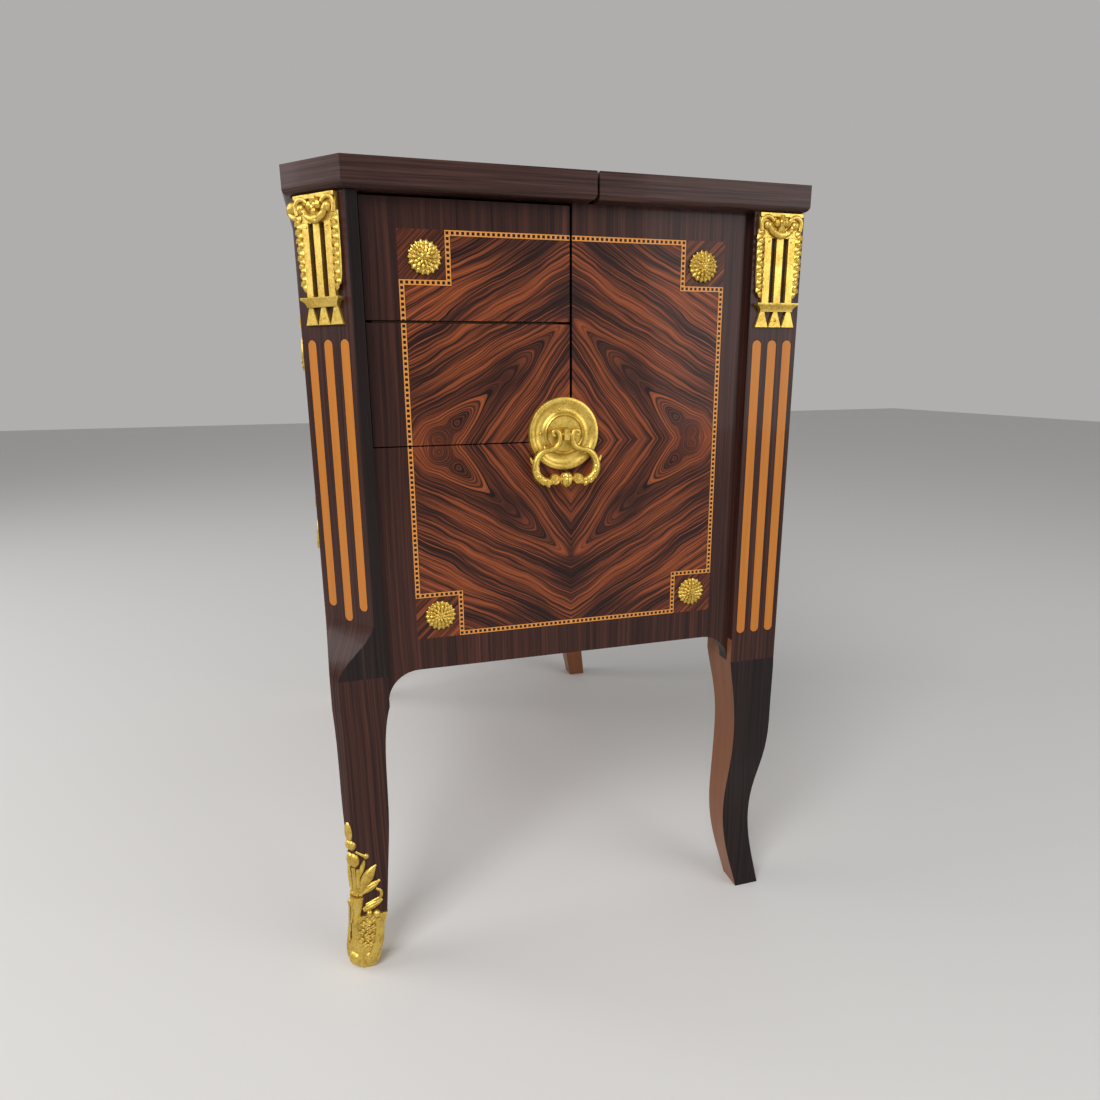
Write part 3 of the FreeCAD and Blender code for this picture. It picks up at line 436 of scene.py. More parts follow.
def tooled_leather():
    """Green leather with a broad and a fine gilt line tooled round it."""
    finish = Finish("tooled_leather")
    grain = finish.place.noise(500.0, 3.0, 0.6)
    hide = grain.mix(colour(0.018, 0.040, 0.018), colour(0.045, 0.085, 0.040))
    low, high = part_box("slide_leather")
    middle, half = (low + high) / 2, (high - low) / 2
    edge = (abs(finish.x - middle.x) - half.x).most(abs(finish.y - middle.y) - half.y)
    broad, fine = [abs(edge + inset) < half_line for inset, half_line in TOOLED_LINES]
    line = broad.most(fine)
    finish.bump(grain, 0.0004)
    return finish.set(Base_Color=line.mix(hide, colour(0.72, 0.48, 0.12)), Roughness=0.5)


GILT = gilt()
OAK = carcass_oak()
FINISHES = [
    (end_panel(), ["side_panel", "side_upper", "side_lower"]),
    (drawer_front(), ["upper_drawer_front", "lower_drawer_front", "front_apron"]),
    (front_post(), ["front_post"]),
    (rear_post(), ["rear_post"]),
    (top_boards(), ["top_leaf", "rear_top"]),
    (plain_rosewood(), ["back_panel"]),
    (OAK, ["bottom_board", "middle_board", "drawer_guides", "bay_", "upper_drawer_box", "lower_drawer_box",
           "writing_slide"]),
    (plain_brass(), ["top_hinges", "leaf_hinges", "lock_"]),
    (tooled_leather(), ["slide_leather"]),
]


def dress(name, node):
    """Give one piece of the desk its finish; what no list names is gilt."""
    chosen = GILT
    for material, starts in FINISHES:
        if any(name.startswith(start) for start in starts):
            chosen = material
    if name.endswith("_box"):
        chosen = OAK
    if name.endswith("_rosette"):
        chosen = GILT
    node.data.materials.clear()
    node.data.materials.append(chosen)


for name, node in NODES.items():
    dress(name, node)


# Forms of the mounts, in millimetres: across to the right, up and out from the face
MM = 0.001
UP = Vector((0, 0, 1))
RIB_DEPTH = 0.1
WELD_REACH = 1e-7
SHARP_ANGLE = math.radians(40)
BODY_OF = {node: body for body, nodes in frame["record"]["behaviour"]["bodies"].items() for node in nodes}


def facing(point, normal):
    """Place on a face of the desk, with the outward direction given."""
    out = Vector(normal).normalized()
    turn = Matrix((UP.cross(out), UP, out)).transposed().to_4x4()
    return Matrix.Translation(point) @ turn @ Matrix.Scale(MM, 4)


def bridged(rings):
    """Faces between rings of points; a ring of one point is a pole."""
    faces = []
    for low, high in zip(rings, rings[1:]):
        count = max(len(low), len(high))
        for k in range(count):
            after = (k + 1) % count
            corners = [low[k % len(low)], low[after % len(low)], high[after % len(high)], high[k % len(high)]]
            faces.append(list(dict.fromkeys(corners)))
    return faces


def ringed(rings_of_points):
    """Closed form from rings of points."""
    points, rings = [], []
    for ring in rings_of_points:
        rings.append(range(len(points), len(points) + len(ring)))
        points.extend(ring)
    return points, bridged(rings)


def lathe(outline, steps=40, upright=False, ribs=0):
    """Turned form, ribbed or plain; the outline gives radius and height from one pole to the other."""
    rings = []
    for radius, rise in outline:
        angles = [2 * math.pi * k / steps for k in range(steps if radius else 1)]
        sizes = [radius * (1 + RIB_DEPTH * math.cos(ribs * angle)) if ribs else radius for angle in angles]
        ring = [(size * math.cos(angle), size * math.sin(angle), rise) for size, angle in zip(sizes, angles)]
        rings.append([(x, z, -y) for x, y, z in ring] if upright else ring)
    return ringed(rings)


def ball(radius, tall=1.0, steps=12):
    """Ball, or an egg standing on end."""
    turns = [math.pi * k / (steps // 2) for k in range(steps // 2 + 1)]
    outline = [(radius * math.sin(turn), -radius * tall * math.cos(turn)) for turn in turns]
    outline[0], outline[-1] = (0, -radius * tall), (0, radius * tall)
    return lathe(outline, steps, upright=True)


def smooth_path(points, steps=4):
    """Points on a smooth line through the given rows of numbers."""
    rows = [Vector(row) for row in points]
    path = []
    for i in range(len(rows) - 1):
        before, start, end, after = rows[max(i - 1, 0)], rows[i], rows[i + 1], rows[min(i + 2, len(rows) - 1)]
        for k in range(steps):
            t = k / steps
            bend = (end - before) * t + (before * 2 - start * 5 + end * 4 - after) * t * t
            path.append(start + (bend + (start * 3 - before - end * 3 + after) * t ** 3) * 0.5)
    return path + [rows[-1]]


def frond(rows, thick=1.0, sides=10):
    """Bar or leaf along rows of across, up, out and half width; thick is its depth over its width."""
    path = smooth_path(rows)
    rings = [[path[0].to_3d()]]
    for i, spot in enumerate(path):
        along = (path[min(i + 1, len(path) - 1)] - path[max(i - 1, 0)]).to_3d().normalized()
        side = along.cross(UP).normalized()
        over = side.cross(along)
        turns = [2 * math.pi * k / sides for k in range(sides)]
        rings.append([spot.to_3d() + (side * math.cos(turn) + over * math.sin(turn) * thick) * spot.w
                      for turn in turns])
    return ringed(rings + [[path[-1].to_3d()]])


def leaf(length, width, thick, curl, steps=6):
    """Pointed leaf along the up axis, ridged in the middle."""
    rings = [[(0, 0, 0)]]
    for i in range(1, steps):
        t = i / steps
        half = width / 2 * math.sin(math.pi * t ** 0.8)
        ridge = thick * math.sin(math.pi * t ** 0.6)
        lift = curl * t * t
        rings.append([(-half, length * t, lift), (-half / 2, length * t, lift + ridge * 0.5),
                      (0, length * t, lift + ridge), (half / 2, length * t, lift + ridge * 0.5),
                      (half, length * t, lift), (0, length * t, lift - thick * 0.3)])
    return ringed(rings + [[(0, length, curl)]])


def slab(outline, depth, bevel):
    """Flat piece with its front arris taken off."""
    middle = sum((Vector(p) for p in outline), Vector((0, 0))) / len(outline)
    inner = [Vector(p) + (middle - Vector(p)).normalized() * bevel for p in outline]
    back = [(x, y, 0) for x, y in outline]
    rim = [(x, y, depth - bevel) for x, y in outline]
    front = [(p.x, p.y, depth) for p in inner]
    return ringed([[(middle.x, middle.y, 0)], back, rim, front, [(middle.x, middle.y, depth)]])


def stacked(levels):
    """Moulding built up of levels: height, half width and depth."""
    rings = [[(-half, rise, 0), (half, rise, 0), (half, rise, depth), (-half, rise, depth)]
             for rise, half, depth in levels]
    low, high = levels[0], levels[-1]
    return ringed([[(0, low[0], low[2] / 2)]] + rings + [[(0, high[0], high[2] / 2)]])


# Trees for what repeats on the mounts
def tree_with(name, sockets):
    """Empty geometry tree with its named inputs."""
    made = bpy.data.node_groups.new(name, "GeometryNodeTree")
    made.interface.new_socket("Geometry", in_out="INPUT", socket_type="NodeSocketGeometry")
    for socket, kind in sockets:
        made.interface.new_socket(socket, in_out="INPUT", socket_type="NodeSocket" + kind)
    made.interface.new_socket("Geometry", in_out="OUTPUT", socket_type="NodeSocketGeometry")
    return made, {socket: Wire(made).node("NodeGroupInput", {}, out=socket)
                  for socket, kind in [("Geometry", "Geometry")] + sockets}


def close_tree(placed, material):
    """Make the instances real, give them their finish and end the tree."""
    real = placed.node("GeometryNodeRealizeInstances", {"Geometry": placed})
    dressed = real.node("GeometryNodeSetMaterial", {"Geometry": real, "Material": material})
    dressed.node("NodeGroupOutput", {0: dressed})


def petal_ring_tree():
    """Petals set round a ring, tips outward."""
    made, given = tree_with("petal_ring", [("Petal", "Object"), ("Count", "Int"), ("Radius", "Float"),
                                           ("Material", "Material")])
    count, radius = given["Count"], given["Radius"]
    ring = radius.node("GeometryNodeMeshCircle", {"Vertices": count, "Radius": radius})
    step = count.node("GeometryNodeInputIndex", {}).math("DIVIDE", count)
    turn = step.node("ShaderNodeCombineXYZ", {2: step * (2 * math.pi) - math.pi / 2})
    placed = ring.node("GeometryNodeInstanceOnPoints", {
        "Points": ring,
        "Instance": ring.node("GeometryNodeObjectInfo", {"Object": given["Petal"]}, out="Geometry"),
        "Rotation": turn.node("FunctionNodeEulerToRotation", {0: turn}),
    })
    close_tree(placed, given["Material"])
    return made


LEAF_SIZES = (0.85, 1.2)


def garland_tree():
    """Leaves set along a line, leaning to each side in turn, a little uneven in size."""
    made, given = tree_with("garland", [("Leaf", "Object"), ("Count", "Int"), ("Lean", "Float"),
                                        ("Seed", "Int"), ("Material", "Material")])
    line = given["Geometry"].node("GeometryNodeMeshToCurve", {0: given["Geometry"]})
    points = line.node("GeometryNodeCurveToPoints", {0: line, "Count": given["Count"]}, mode="COUNT")
    tangent = points.beside("Tangent")
    heading = tangent.part(1).math("ARCTAN2", tangent.part(0)) - math.pi / 2
    index = points.node("GeometryNodeInputIndex", {})
    lean = (index.math("FLOORED_MODULO", 2.0) - 0.5) * given["Lean"] * 2.0
    turn = points.node("ShaderNodeCombineXYZ", {2: heading + lean})
    least, most = LEAF_SIZES
    size = points.node("FunctionNodeRandomValue", {2: least, 3: most, "Seed": given["Seed"]}, out=1)
    placed = points.node("GeometryNodeInstanceOnPoints", {
        "Points": points,
        "Instance": points.node("GeometryNodeObjectInfo", {"Object": given["Leaf"]}, out="Geometry"),
        "Rotation": points.node("FunctionNodeEulerToRotation", {0: turn}),
        "Scale": size,
    })
    close_tree(placed, given["Material"])
    return made


def loose_mesh(name, points, faces, edges=()):
    mesh = bpy.data.meshes.new(name)
    mesh.from_pydata([tuple(p) for p in points], list(edges), [list(f) for f in faces])
    return mesh


def grown(tree, base, source, **inputs):
    """Form grown by a tree from one petal or leaf."""
    carrier = bpy.data.objects.new("carrier", base)
    sample = bpy.data.objects.new("sample", loose_mesh("sample", *source))
    for item in (carrier, sample):
        bpy.context.collection.objects.link(item)
    inputs["Petal"] = inputs["Leaf"] = sample
    inputs["Material"] = GILT
    modifier = carrier.modifiers.new("growth", "NODES")
    modifier.node_group = tree
    for item in tree.interface.items_tree:
        if item.in_out == "INPUT" and item.name in inputs:
            modifier[item.identifier] = inputs[item.name]
    mesh = bpy.data.meshes.new_from_object(carrier.evaluated_get(bpy.context.evaluated_depsgraph_get()))
    form = [tuple(v.co) for v in mesh.vertices], [list(face.vertices) for face in mesh.polygons]
    bpy.data.objects.remove(carrier)
    bpy.data.objects.remove(sample)
    bpy.data.meshes.remove(mesh)
    return form


PETAL_RING = petal_ring_tree()
GARLAND = garland_tree()


def petals(count, radius, petal):
    return grown(PETAL_RING, bpy.data.meshes.new("ring"), petal, Count=count, Radius=float(radius))


def garland(path, count, lean, sprig, seed=1):
    points = [Vector((x, y, z)) for x, y, z in path]
    line = loose_mesh("line", points, [], [(i, i + 1) for i in range(len(points) - 1)])
    return grown(GARLAND, line, sprig, Count=count, Lean=lean, Seed=seed)


class Mount:
    """One gilt piece, put together from forms on the faces of the desk."""

    def __init__(self, name):
        self.name = name
        self.mesh = bmesh.new()

    def add(self, form, place, shift=(0, 0, 0), flip=1):
        points, faces = form
        turned = [Vector((x * flip, y, z)) + Vector(shift) for x, y, z in points]
        spots = [self.mesh.verts.new(place @ point) for point in turned]
        for face in faces:
            self.mesh.faces.new([spots[i] for i in face])

    def finish(self, body, *nodes):
        bmesh.ops.remove_doubles(self.mesh, verts=self.mesh.verts, dist=WELD_REACH)
        bmesh.ops.recalc_face_normals(self.mesh, faces=self.mesh.faces)
        mesh = bpy.data.meshes.new(self.name)
        self.mesh.to_mesh(mesh)
        self.mesh.free()
        mesh.polygons.foreach_set("use_smooth", [True] * len(mesh.polygons))
        mesh.set_sharp_from_angle(angle=SHARP_ANGLE)
        mesh.materials.append(GILT)
        piece = bpy.data.objects.new(self.name, mesh)
        bpy.context.collection.objects.link(piece)
        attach(piece, body)
        if nodes:
            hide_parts(*nodes)


# Handles
PLATE_RADIUS = 35
PLATE_OUTLINE = [(0, 0), (PLATE_RADIUS, 0), (PLATE_RADIUS, 2.6), (34.4, 4.0), (32.6, 4.7), (30.4, 4.5),
                 (29.0, 3.4), (27.0, 2.3), (24.2, 1.9), (21.6, 2.4), (20.0, 3.8), (19.4, 5.0), (18.3, 5.5),
                 (17.2, 5.0), (16.6, 4.2), (0, 4.1)]
SOCKET_OUTLINE = [(-4.4, -6.5), (4.4, -6.5), (5.0, 0), (4.4, 6.5), (-4.4, 6.5), (-5.0, 0)]
EYE_OUTLINE = [(-3.0, -5.8), (3.0, -5.8), (3.0, 5.8), (-3.0, 5.8)]
SOCKET_REACH = 5.6
EYE_REACH = 14.4
PIVOT_REACH = 10.5
PLATE_NAILS = ((-4.0, 23.0, 2.0), (-23.0, 0.7, 2.0))
NAIL_RADIUS = 1.5
EYE_PIN = [(-6.4, 0, 0, 1.7), (6.4, 0, 0, 1.7)]
CROSS_BAR = [(-9, -42.4, 0, 2.4), (9, -42.4, 0, 2.4)]
BAIL_SIDE = [
    (11.0, -1.2, 0, 1.2), (13.0, -0.2, 0, 1.5), (13.2, 2.4, 0, 1.7), (10.4, 3.9, 0, 1.9), (7.4, 2.2, 0, 2.2),
    (6.2, -2.6, 0, 2.5), (7.0, -8.0, 0, 2.6), (10.2, -12.2, 0, 2.7), (15.4, -14.4, 0, 2.8),
    (21.0, -15.2, 0, 3.0), (26.8, -19.4, 0, 3.3), (30.2, -26.0, 0, 3.7), (30.6, -33.0, 0, 4.1),
    (28.2, -39.4, 0, 4.3), (23.4, -43.6, 0, 4.2), (17.6, -45.2, 0, 3.7), (12.8, -44.4, 0, 3.0),
]
VOLUTE_OUTLINE = [(0, -3.0), (4.2, -3.0), (5.3, -1.8), (5.3, 1.8), (4.6, 3.2), (3.6, 3.2), (2.8, 2.4),
                  (2.2, 2.5), (1.7, 3.5), (0, 3.9)]
VOLUTE_SPOT = (11.6, -42.6)
KNOP_OUTLINE = [(0, -36.8), (2.8, -36.9), (4.0, -38.2), (4.5, -40.2), (4.0, -41.2), (4.5, -42.4),
                (4.5, -45.2), (3.9, -47.4), (2.6, -49.2), (1.2, -50.6), (0, -51.2)]
KNOP_WIDTH = 1.22
SPURS = [
    [(29.4, -29.6, 0, 3.2), (32.8, -26.0, 0, 2.2), (34.8, -23.2, 0, 1.2), (35.6, -21.0, 0, 0.4)],
    [(19.4, -15.6, 0, 2.6), (21.2, -12.4, 0, 1.8), (21.9, -10.2, 0, 0.4)],
]
BAIL_LEAVES = [(30.8, -29.0, 2.9), (30.0, -35.6, 3.4), (26.6, -41.2, 3.5), (20.4, -44.6, 3.0)]


def handle_plate(mount, place):
    """Turned plate with two nails, a socket and an upright eye."""
    mount.add(lathe(PLATE_OUTLINE, 72), place)
    mount.add(slab(SOCKET_OUTLINE, SOCKET_REACH, 1.0), place)
    mount.add(slab(EYE_OUTLINE, EYE_REACH, 0.9), place)
    for spot in PLATE_NAILS:
        mount.add(ball(NAIL_RADIUS), place, spot)


def bail(mount, place):
    """Scrolled bail with leaves cast on its lower sides, hung on a pin through the eye."""
    hung = (0, 0, PIVOT_REACH)
    for flip in (1, -1):
        mount.add(frond(BAIL_SIDE, 0.95, 14), place, hung, flip)
        across, up = VOLUTE_SPOT
        mount.add(lathe(VOLUTE_OUTLINE, 28), place, (across * flip, up, PIVOT_REACH))
        for spur in SPURS:
            mount.add(frond(spur, 0.8), place, hung, flip)
        mount.add(garland(BAIL_LEAVES, 8, 0.55, leaf(5.2, 3.4, 1.0, 0.2)), place, hung, flip)
    mount.add(frond(EYE_PIN), place, hung)
    mount.add(frond(CROSS_BAR), place, hung)
    mount.add(lathe(KNOP_OUTLINE, 40, upright=True, ribs=8), place, hung, KNOP_WIDTH)


def middle_of(node):
    low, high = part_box(node)
    return (low + high) / 2


def hang_handles():
    """Handles on both front drawers and on the lower end drawers."""
    for tier in ("upper", "lower"):
        plates = tier + "_handle_plates"
        pair = Mount(tier + "_plates")
        low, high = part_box(plates)
        for end, side in ENDS:
            spot = (side * (high.x - PLATE_RADIUS * MM), FRONT_Y, (low.z + high.z) / 2)
            place = facing(spot, (0, -1, 0))
            handle_plate(pair, place)
            swing = Mount("%s_handle_%s" % (tier, end))
            bail(swing, place)
            node = "%s_bail_%s" % (tier, end)
            swing.finish(BODY_OF[node], node)
        pair.finish(BODY_OF[plates], plates)
    for end, side in ENDS:
        spot = middle_of("side_plate_" + end)
        spot.x = side * PANEL_X
        place = facing(spot, (side, 0, 0))
        for name, make in (("side_plate_", handle_plate), ("side_bail_", bail)):
            mount = Mount(name.replace("bail", "handle") + end + "_gilt")
            make(mount, place)
            mount.finish(BODY_OF[name + end], name + end)


# Rosettes
SEED_OUTLINE = [(0, 0), (4.2, 0), (4.2, 4.4), (3.2, 5.2), (0, 5.4)]
ROSETTE_BACK = [(0, 0), (13.5, 0), (13.5, 0.9), (8.0, 2.6), (0, 3.6)]
ROSETTE_REACH = 15.5
# Rows of petals: how many, radius of the row, half width and length over width of a petal, height
PETAL_ROWS = [(18, 11.0, 1.9, 2.35, 1.5), (14, 7.6, 1.75, 2.2, 3.1), (9, 4.6, 1.5, 1.7, 4.5),
              (6, 1.9, 0.8, 1.0, 5.5)]


def rosette(mount, place):
    """Flower with rows of round-tipped petals round a seeded middle."""
    mount.add(lathe(ROSETTE_BACK, 32), place)
    mount.add(lathe(SEED_OUTLINE, 20), place)
    for count, ring, half, tall, rise in PETAL_ROWS:
        mount.add(petals(count, ring, ball(half, tall, 8)), place, (0, 0, rise))


def set_rosettes():
    """One rosette on each upper end drawer and three on each fixed end."""
    for end, side in ENDS:
        upper = "side_upper_%s_rosette" % end
        single = Mount("rosette_on_drawer_" + end)
        spot = middle_of(upper)
        spot.x = side * PANEL_X
        rosette(single, facing(spot, (side, 0, 0)))
        single.finish(BODY_OF[upper], upper)
        fixed = Mount("rosettes_on_end_" + end)
        low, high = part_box("side_rosettes_" + end)
        reach = ROSETTE_REACH * MM
        near, far = low.y + reach, high.y - reach
        for y, z in ((far, high.z - reach), (far, low.z + reach), (near, low.z + reach)):
            rosette(fixed, facing((side * PANEL_X, y, z), (side, 0, 0)))
        fixed.finish("carcass", "side_rosettes_" + end)


# Chutes
CHUTE_BARS = (-13.0, 0.0, 13.0)
CHUTE_DROPS = (-14.7, 0.0, 14.7)
CHUTE_TALL = 105.5
BAR_HALF = 3.7
BAR_FOOT = 22
BAR_TOP = 84
# Rows of the head's flower, as in a rosette, and where its middle lies
FLOWER_ROWS = [(4, 4.9, 4.3, 0.85, 3.4), (3, 1.8, 2.4, 0.9, 5.4)]
FLOWER_UP = 96.4
# Balls on both sides of the chute and a nail in its middle drop: radius, across, up and out
PAIRED_BALLS = [(4.3, 14.8, 94.6, 3.6), (1.3, 14.8, 94.6, 6.5), (1.2, 12.0, 80.0, 3.4)]
DROP_NAIL = (1.3, 0, 6.7, 2.4)
SWAG_LIFT = 1.8
# Rows of leaves down each garland: seed and lean
GARLAND_ROWS = ((3, 0.42), (8, 0.16), (5, 0.8))
GARLAND_LEAVES = 17
CORNICE = [(15.2, 17.9, 4.0), (17.0, 17.9, 4.2), (19.0, 19.2, 5.2), (20.8, 21.6, 6.4), (21.6, 22.6, 7.0),
           (23.2, 22.6, 7.0)]
HEAD_OUTLINE = [(-21.5, 83), (21.5, 83), (22.5, 90), (23, 104.8), (-23, 104.8), (-22.5, 90)]
HEAD_BAND = [(101.6, 22.4, 3.8), (102.4, 23.2, 5.0), (105.4, 23.2, 5.0)]
DROP_OUTLINE = [(-7.2, 0.2), (7.2, 0.2), (2.3, 15.8), (-2.3, 15.8)]
SWAG = [(-12.5, 93.5, 4.2, 2.2), (-8.5, 88.4, 4.6, 3.0), (0, 85.6, 5.0, 3.5), (8.5, 88.4, 4.6, 3.0),
        (12.5, 93.5, 4.2, 2.2)]
HEAD_SCROLL = [(8.4, 98.4, 4.2, 1.6), (11.6, 101.4, 4.4, 1.9), (16.4, 102.4, 4.4, 2.1),
               (20.8, 99.6, 4.2, 2.1), (21.6, 95.0, 4.0, 2.0), (20.8, 90.0, 3.6, 2.2)]
GARLAND_LINE = [(20.8, 90.0, 3.4), (20.6, 74.0, 3.7), (20.2, 54.0, 3.7), (19.4, 34.0, 3.0)]
GARLAND_BODY = [(20.8, 91, 1.2, 3.0), (20.5, 66, 1.2, 3.4), (20.1, 46, 1.2, 3.4), (19.5, 36, 1.2, 2.8),
                (18.6, 32, 1.2, 1.0)]
EAR = [
    [(-20, 95, 2.4, 3.0), (-26, 97.5, 2.6, 4.8), (-31, 96, 2.0, 4.2), (-34.5, 92, 1.0, 1.4)],
    [(-21, 88, 2.2, 1.8), (-27, 89.5, 2.4, 2.6), (-32, 92.5, 1.8, 1.8), (-34.5, 95, 1.0, 0.8)],
]


def chute(mount, place, ear):
    """Flowered head, two garlands, three bars, a cornice, three drops and, to one side, an ear."""
    mount.add(slab(HEAD_OUTLINE, 2.8, 0.6), place)
    mount.add(stacked(HEAD_BAND), place)
    for count, ring, half, tall, rise in FLOWER_ROWS:
        mount.add(petals(count, ring, ball(half, tall, 8)), place, (0, FLOWER_UP, rise))
    mount.add(frond(SWAG, 0.75), place)
    swag_line = [(x, y, out + SWAG_LIFT) for x, y, out, half in SWAG]
    mount.add(garland(swag_line, 9, 0.5, leaf(4.0, 2.6, 0.9, 0.2)), place)
    for flip in (1, -1):
        mount.add(frond(HEAD_SCROLL, 0.8), place, flip=flip)
        for seed, lean in GARLAND_ROWS:
            sprig = leaf(5.6, 4.0, 1.7, 0.2)
            mount.add(garland(GARLAND_LINE, GARLAND_LEAVES, lean, sprig, seed), place, flip=flip)
        mount.add(frond(GARLAND_BODY, 0.8), place, flip=flip)
        for radius, x, y, out in PAIRED_BALLS:
            mount.add(ball(radius), place, (x * flip, y, out))
    for x in CHUTE_BARS:
        left, right = x - BAR_HALF, x + BAR_HALF
        bar = [(left, BAR_FOOT), (right, BAR_FOOT), (right, BAR_TOP), (left, BAR_TOP)]
        mount.add(slab(bar, 3.6, 0.5), place)
    mount.add(stacked(CORNICE), place)
    for x in CHUTE_DROPS:
        mount.add(slab(DROP_OUTLINE, 2.6, 0.5), place, (x, 0, 0))
    mount.add(ball(DROP_NAIL[0]), place, DROP_NAIL[1:])
    if ear:
        for rows in EAR:
            mount.add(frond(rows, 0.55), place, flip=ear)


def set_chutes():
    """A chute with an ear on each front post's cant, and one without on each rear post."""
    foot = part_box("chute_rear_right")[1].z - CHUTE_TALL * MM
    for end, side in ENDS:
        cant = (side * (POST_X - POST_CANT / 2), POST_FRONT_Y + POST_CANT / 2, foot)
        front = Mount("front_chute_" + end)
        chute(front, facing(cant, (side, -1, 0)), side)
        front.finish("carcass", "chute_front_" + end)
        rear = Mount("rear_chute_" + end)
        chute(rear, facing((side * POST_X, POST_BACK_Y - POST_SIDE / 2, foot), (side, 0, 0)), 0)
        rear.finish("carcass", "chute_rear_" + end)


# Leafy mounts that climb the arrises of the front legs: across from the arris, up and half width
SPRAY = [
    [(3.0, 117, 2.4), (3.0, 104, 2.7), (3.2, 92, 3.0), (3.4, 84, 3.2)],
    [(6.6, 116, 1.5), (6.2, 102, 2.0), (6.0, 88, 2.2)],
    [(7.5, 106, 1.2), (10.0, 113, 2.4), (12.6, 120, 2.2), (14.4, 125, 0.8)],
    [(6.0, 87, 2.0), (11.5, 97, 5.0), (16.5, 106, 6.0), (21.5, 113, 3.4), (24.6, 116.5, 0.8)],
    [(8.0, 86, 2.0), (14.0, 90, 4.2), (20.0, 93.5, 4.2), (26.4, 97.5, 1.2)],
    [(23.0, 89, 1.3), (27.8, 85, 1.7), (27.4, 78.4, 1.8), (20.0, 75.0, 1.8), (13.0, 72.0, 1.8)],
    [(-1.0, 84.4, 1.8), (4.0, 85.0, 2.3), (9.4, 84.2, 1.8)],
    [(5.0, 82, 5.4), (5.0, 72, 4.6), (4.6, 62, 3.4), (4.4, 54, 2.2)],
    [(10.5, 67, 2.4), (17.0, 70, 4.2), (23.5, 72.5, 3.6), (29.5, 75.5, 1.0)],
    [(7.0, 137, 1.2), (11.0, 133.4, 1.3), (15.6, 129.6, 1.6)],
]
CRESCENT = [(26.5, 57, 3.0), (28.0, 48, 4.2), (28.2, 36, 4.8), (26.6, 24, 5.0), (22.4, 13, 4.6),
            (16.0, 7.0, 2.8)]
# The toe of a sabot, from the top down: height, and how far the outer and the inner faces are drawn in
TOE_ROWS = [(61.5, 0, 1.6), (52, 2.0, 4.0), (40, 3.8, 6.0), (25, 3.4, 8.0), (12, 1.6, 10.0), (5, 1.6, 11.5),
            (0, 4.0, 14.0)]
RIBS = [
    [(8.5, 90, 1.0), (13.0, 100, 1.9), (17.0, 107, 1.6), (19.6, 111, 0.5)],
    [(11.0, 88, 0.9), (17.0, 91.8, 1.4), (23.0, 95.4, 0.6)],
    [(13.0, 68.4, 0.9), (19.0, 71.0, 1.3), (25.5, 73.6, 0.6)],
]
# Buds and toe lobes: across and up, radius and height over width
BUDS = [((4.0, 160), 4.4, 2.6), ((5.0, 144), 4.4, 1.35), ((5.4, 126), 5.0, 1.7), ((16.8, 129), 3.2, 1.15),
        ((16.6, 62.4), 3.4, 1.0), ((26.6, 61.4), 4.0, 1.1), ((24.4, 116), 1.6, 1.0), ((26.4, 97.4), 2.0, 1.0)]
LOBES = [((7.6, 11.5), 8.4, 1.1), ((20.6, 12.0), 8.6, 1.1)]
ROUGH_LINES = [[(11.5, 27, 0), (12.5, 40, 0), (14.5, 55, 0)], [(18.0, 27, 0), (19.5, 40, 0), (20.0, 54, 0)]]
ROUGH_LEANS = (0.5, 1.2)
# How far forms are lifted from the leg, with their depth over width, and how far round ones are sunk
SPRAY_LAY = (0.5, 0.62)
RIB_LAY = (2.6, 0.8)
CRESCENT_LAY = (0.5, 0.55)
ROUGH_LIFT = 0.6
BUD_SUNK = 0.30
LOBE_SUNK = 0.80
ARRIS_REACH = 0.6
LEG_HEART_X = POST_X - 18 * MM


def drawn_in(rise):
    """Insets of the toe's outer and inner faces at a height."""
    for (above, outer, inner), (below, next_outer, next_inner) in zip(TOE_ROWS, TOE_ROWS[1:]):
        if rise >= below:
            share = min((rise - below) / (above - below), 1)
            return next_outer + (outer - next_outer) * share, next_inner + (inner - next_inner) * share
    return TOE_ROWS[-1][1:]


def toe(end, side):
    """The sabot's solid drawn in to a waist and a hoof."""
    cast = bmesh.new()
    cast.from_mesh(NODES["sabot_" + end].data)
    for row in TOE_ROWS[1:-1]:
        whole = cast.verts[:] + cast.edges[:] + cast.faces[:]
        bmesh.ops.bisect_plane(cast, geom=whole, plane_co=(0, 0, row[0] * MM), plane_no=(0, 0, 1))
    low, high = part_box("sabot_" + end)
    size = high - low
    for vert in cast.verts:
        outer, inner = drawn_in(vert.co.z / MM)
        deep = (vert.co.y - low.y) / size.y
        inward = (high.x - vert.co.x if side > 0 else vert.co.x - low.x) / size.x
        vert.co.y += (outer * (1 - deep) - inner * deep) * MM
        vert.co.x -= side * (outer * (1 - inward) - inner * inward) * MM
    cast.verts.index_update()
    form = [v.co.copy() for v in cast.verts], [[v.index for v in face.verts] for face in cast.faces]
    cast.free()
    return form


def leg_form():
    """The right leg and its toe, to be felt from outside."""
    mesh = NODES["front_post_right"].data
    points, faces = toe("right", 1)
    start = len(points)
    points = points + [v.co.copy() for v in mesh.vertices]
    faces = faces + [[start + i for i in face.vertices] for face in mesh.polygons]
    return BVHTree.FromPolygons(points, faces)


LEG = leg_form()


def on_leg(across, rise):
    """Place on the leg's end face, in millimetres from the post's corner."""
    arris = LEG.ray_cast(Vector((LEG_HEART_X, -1, rise * MM)), Vector((0, 1, 0)))[0].y
    y = arris + max(across, ARRIS_REACH) * MM
    x = LEG.ray_cast(Vector((1, y, rise * MM)), Vector((-1, 0, 0)))[0].x
    return ((y - POST_FRONT_Y) / MM + min(across - ARRIS_REACH, 0), rise, (x - POST_X) / MM)


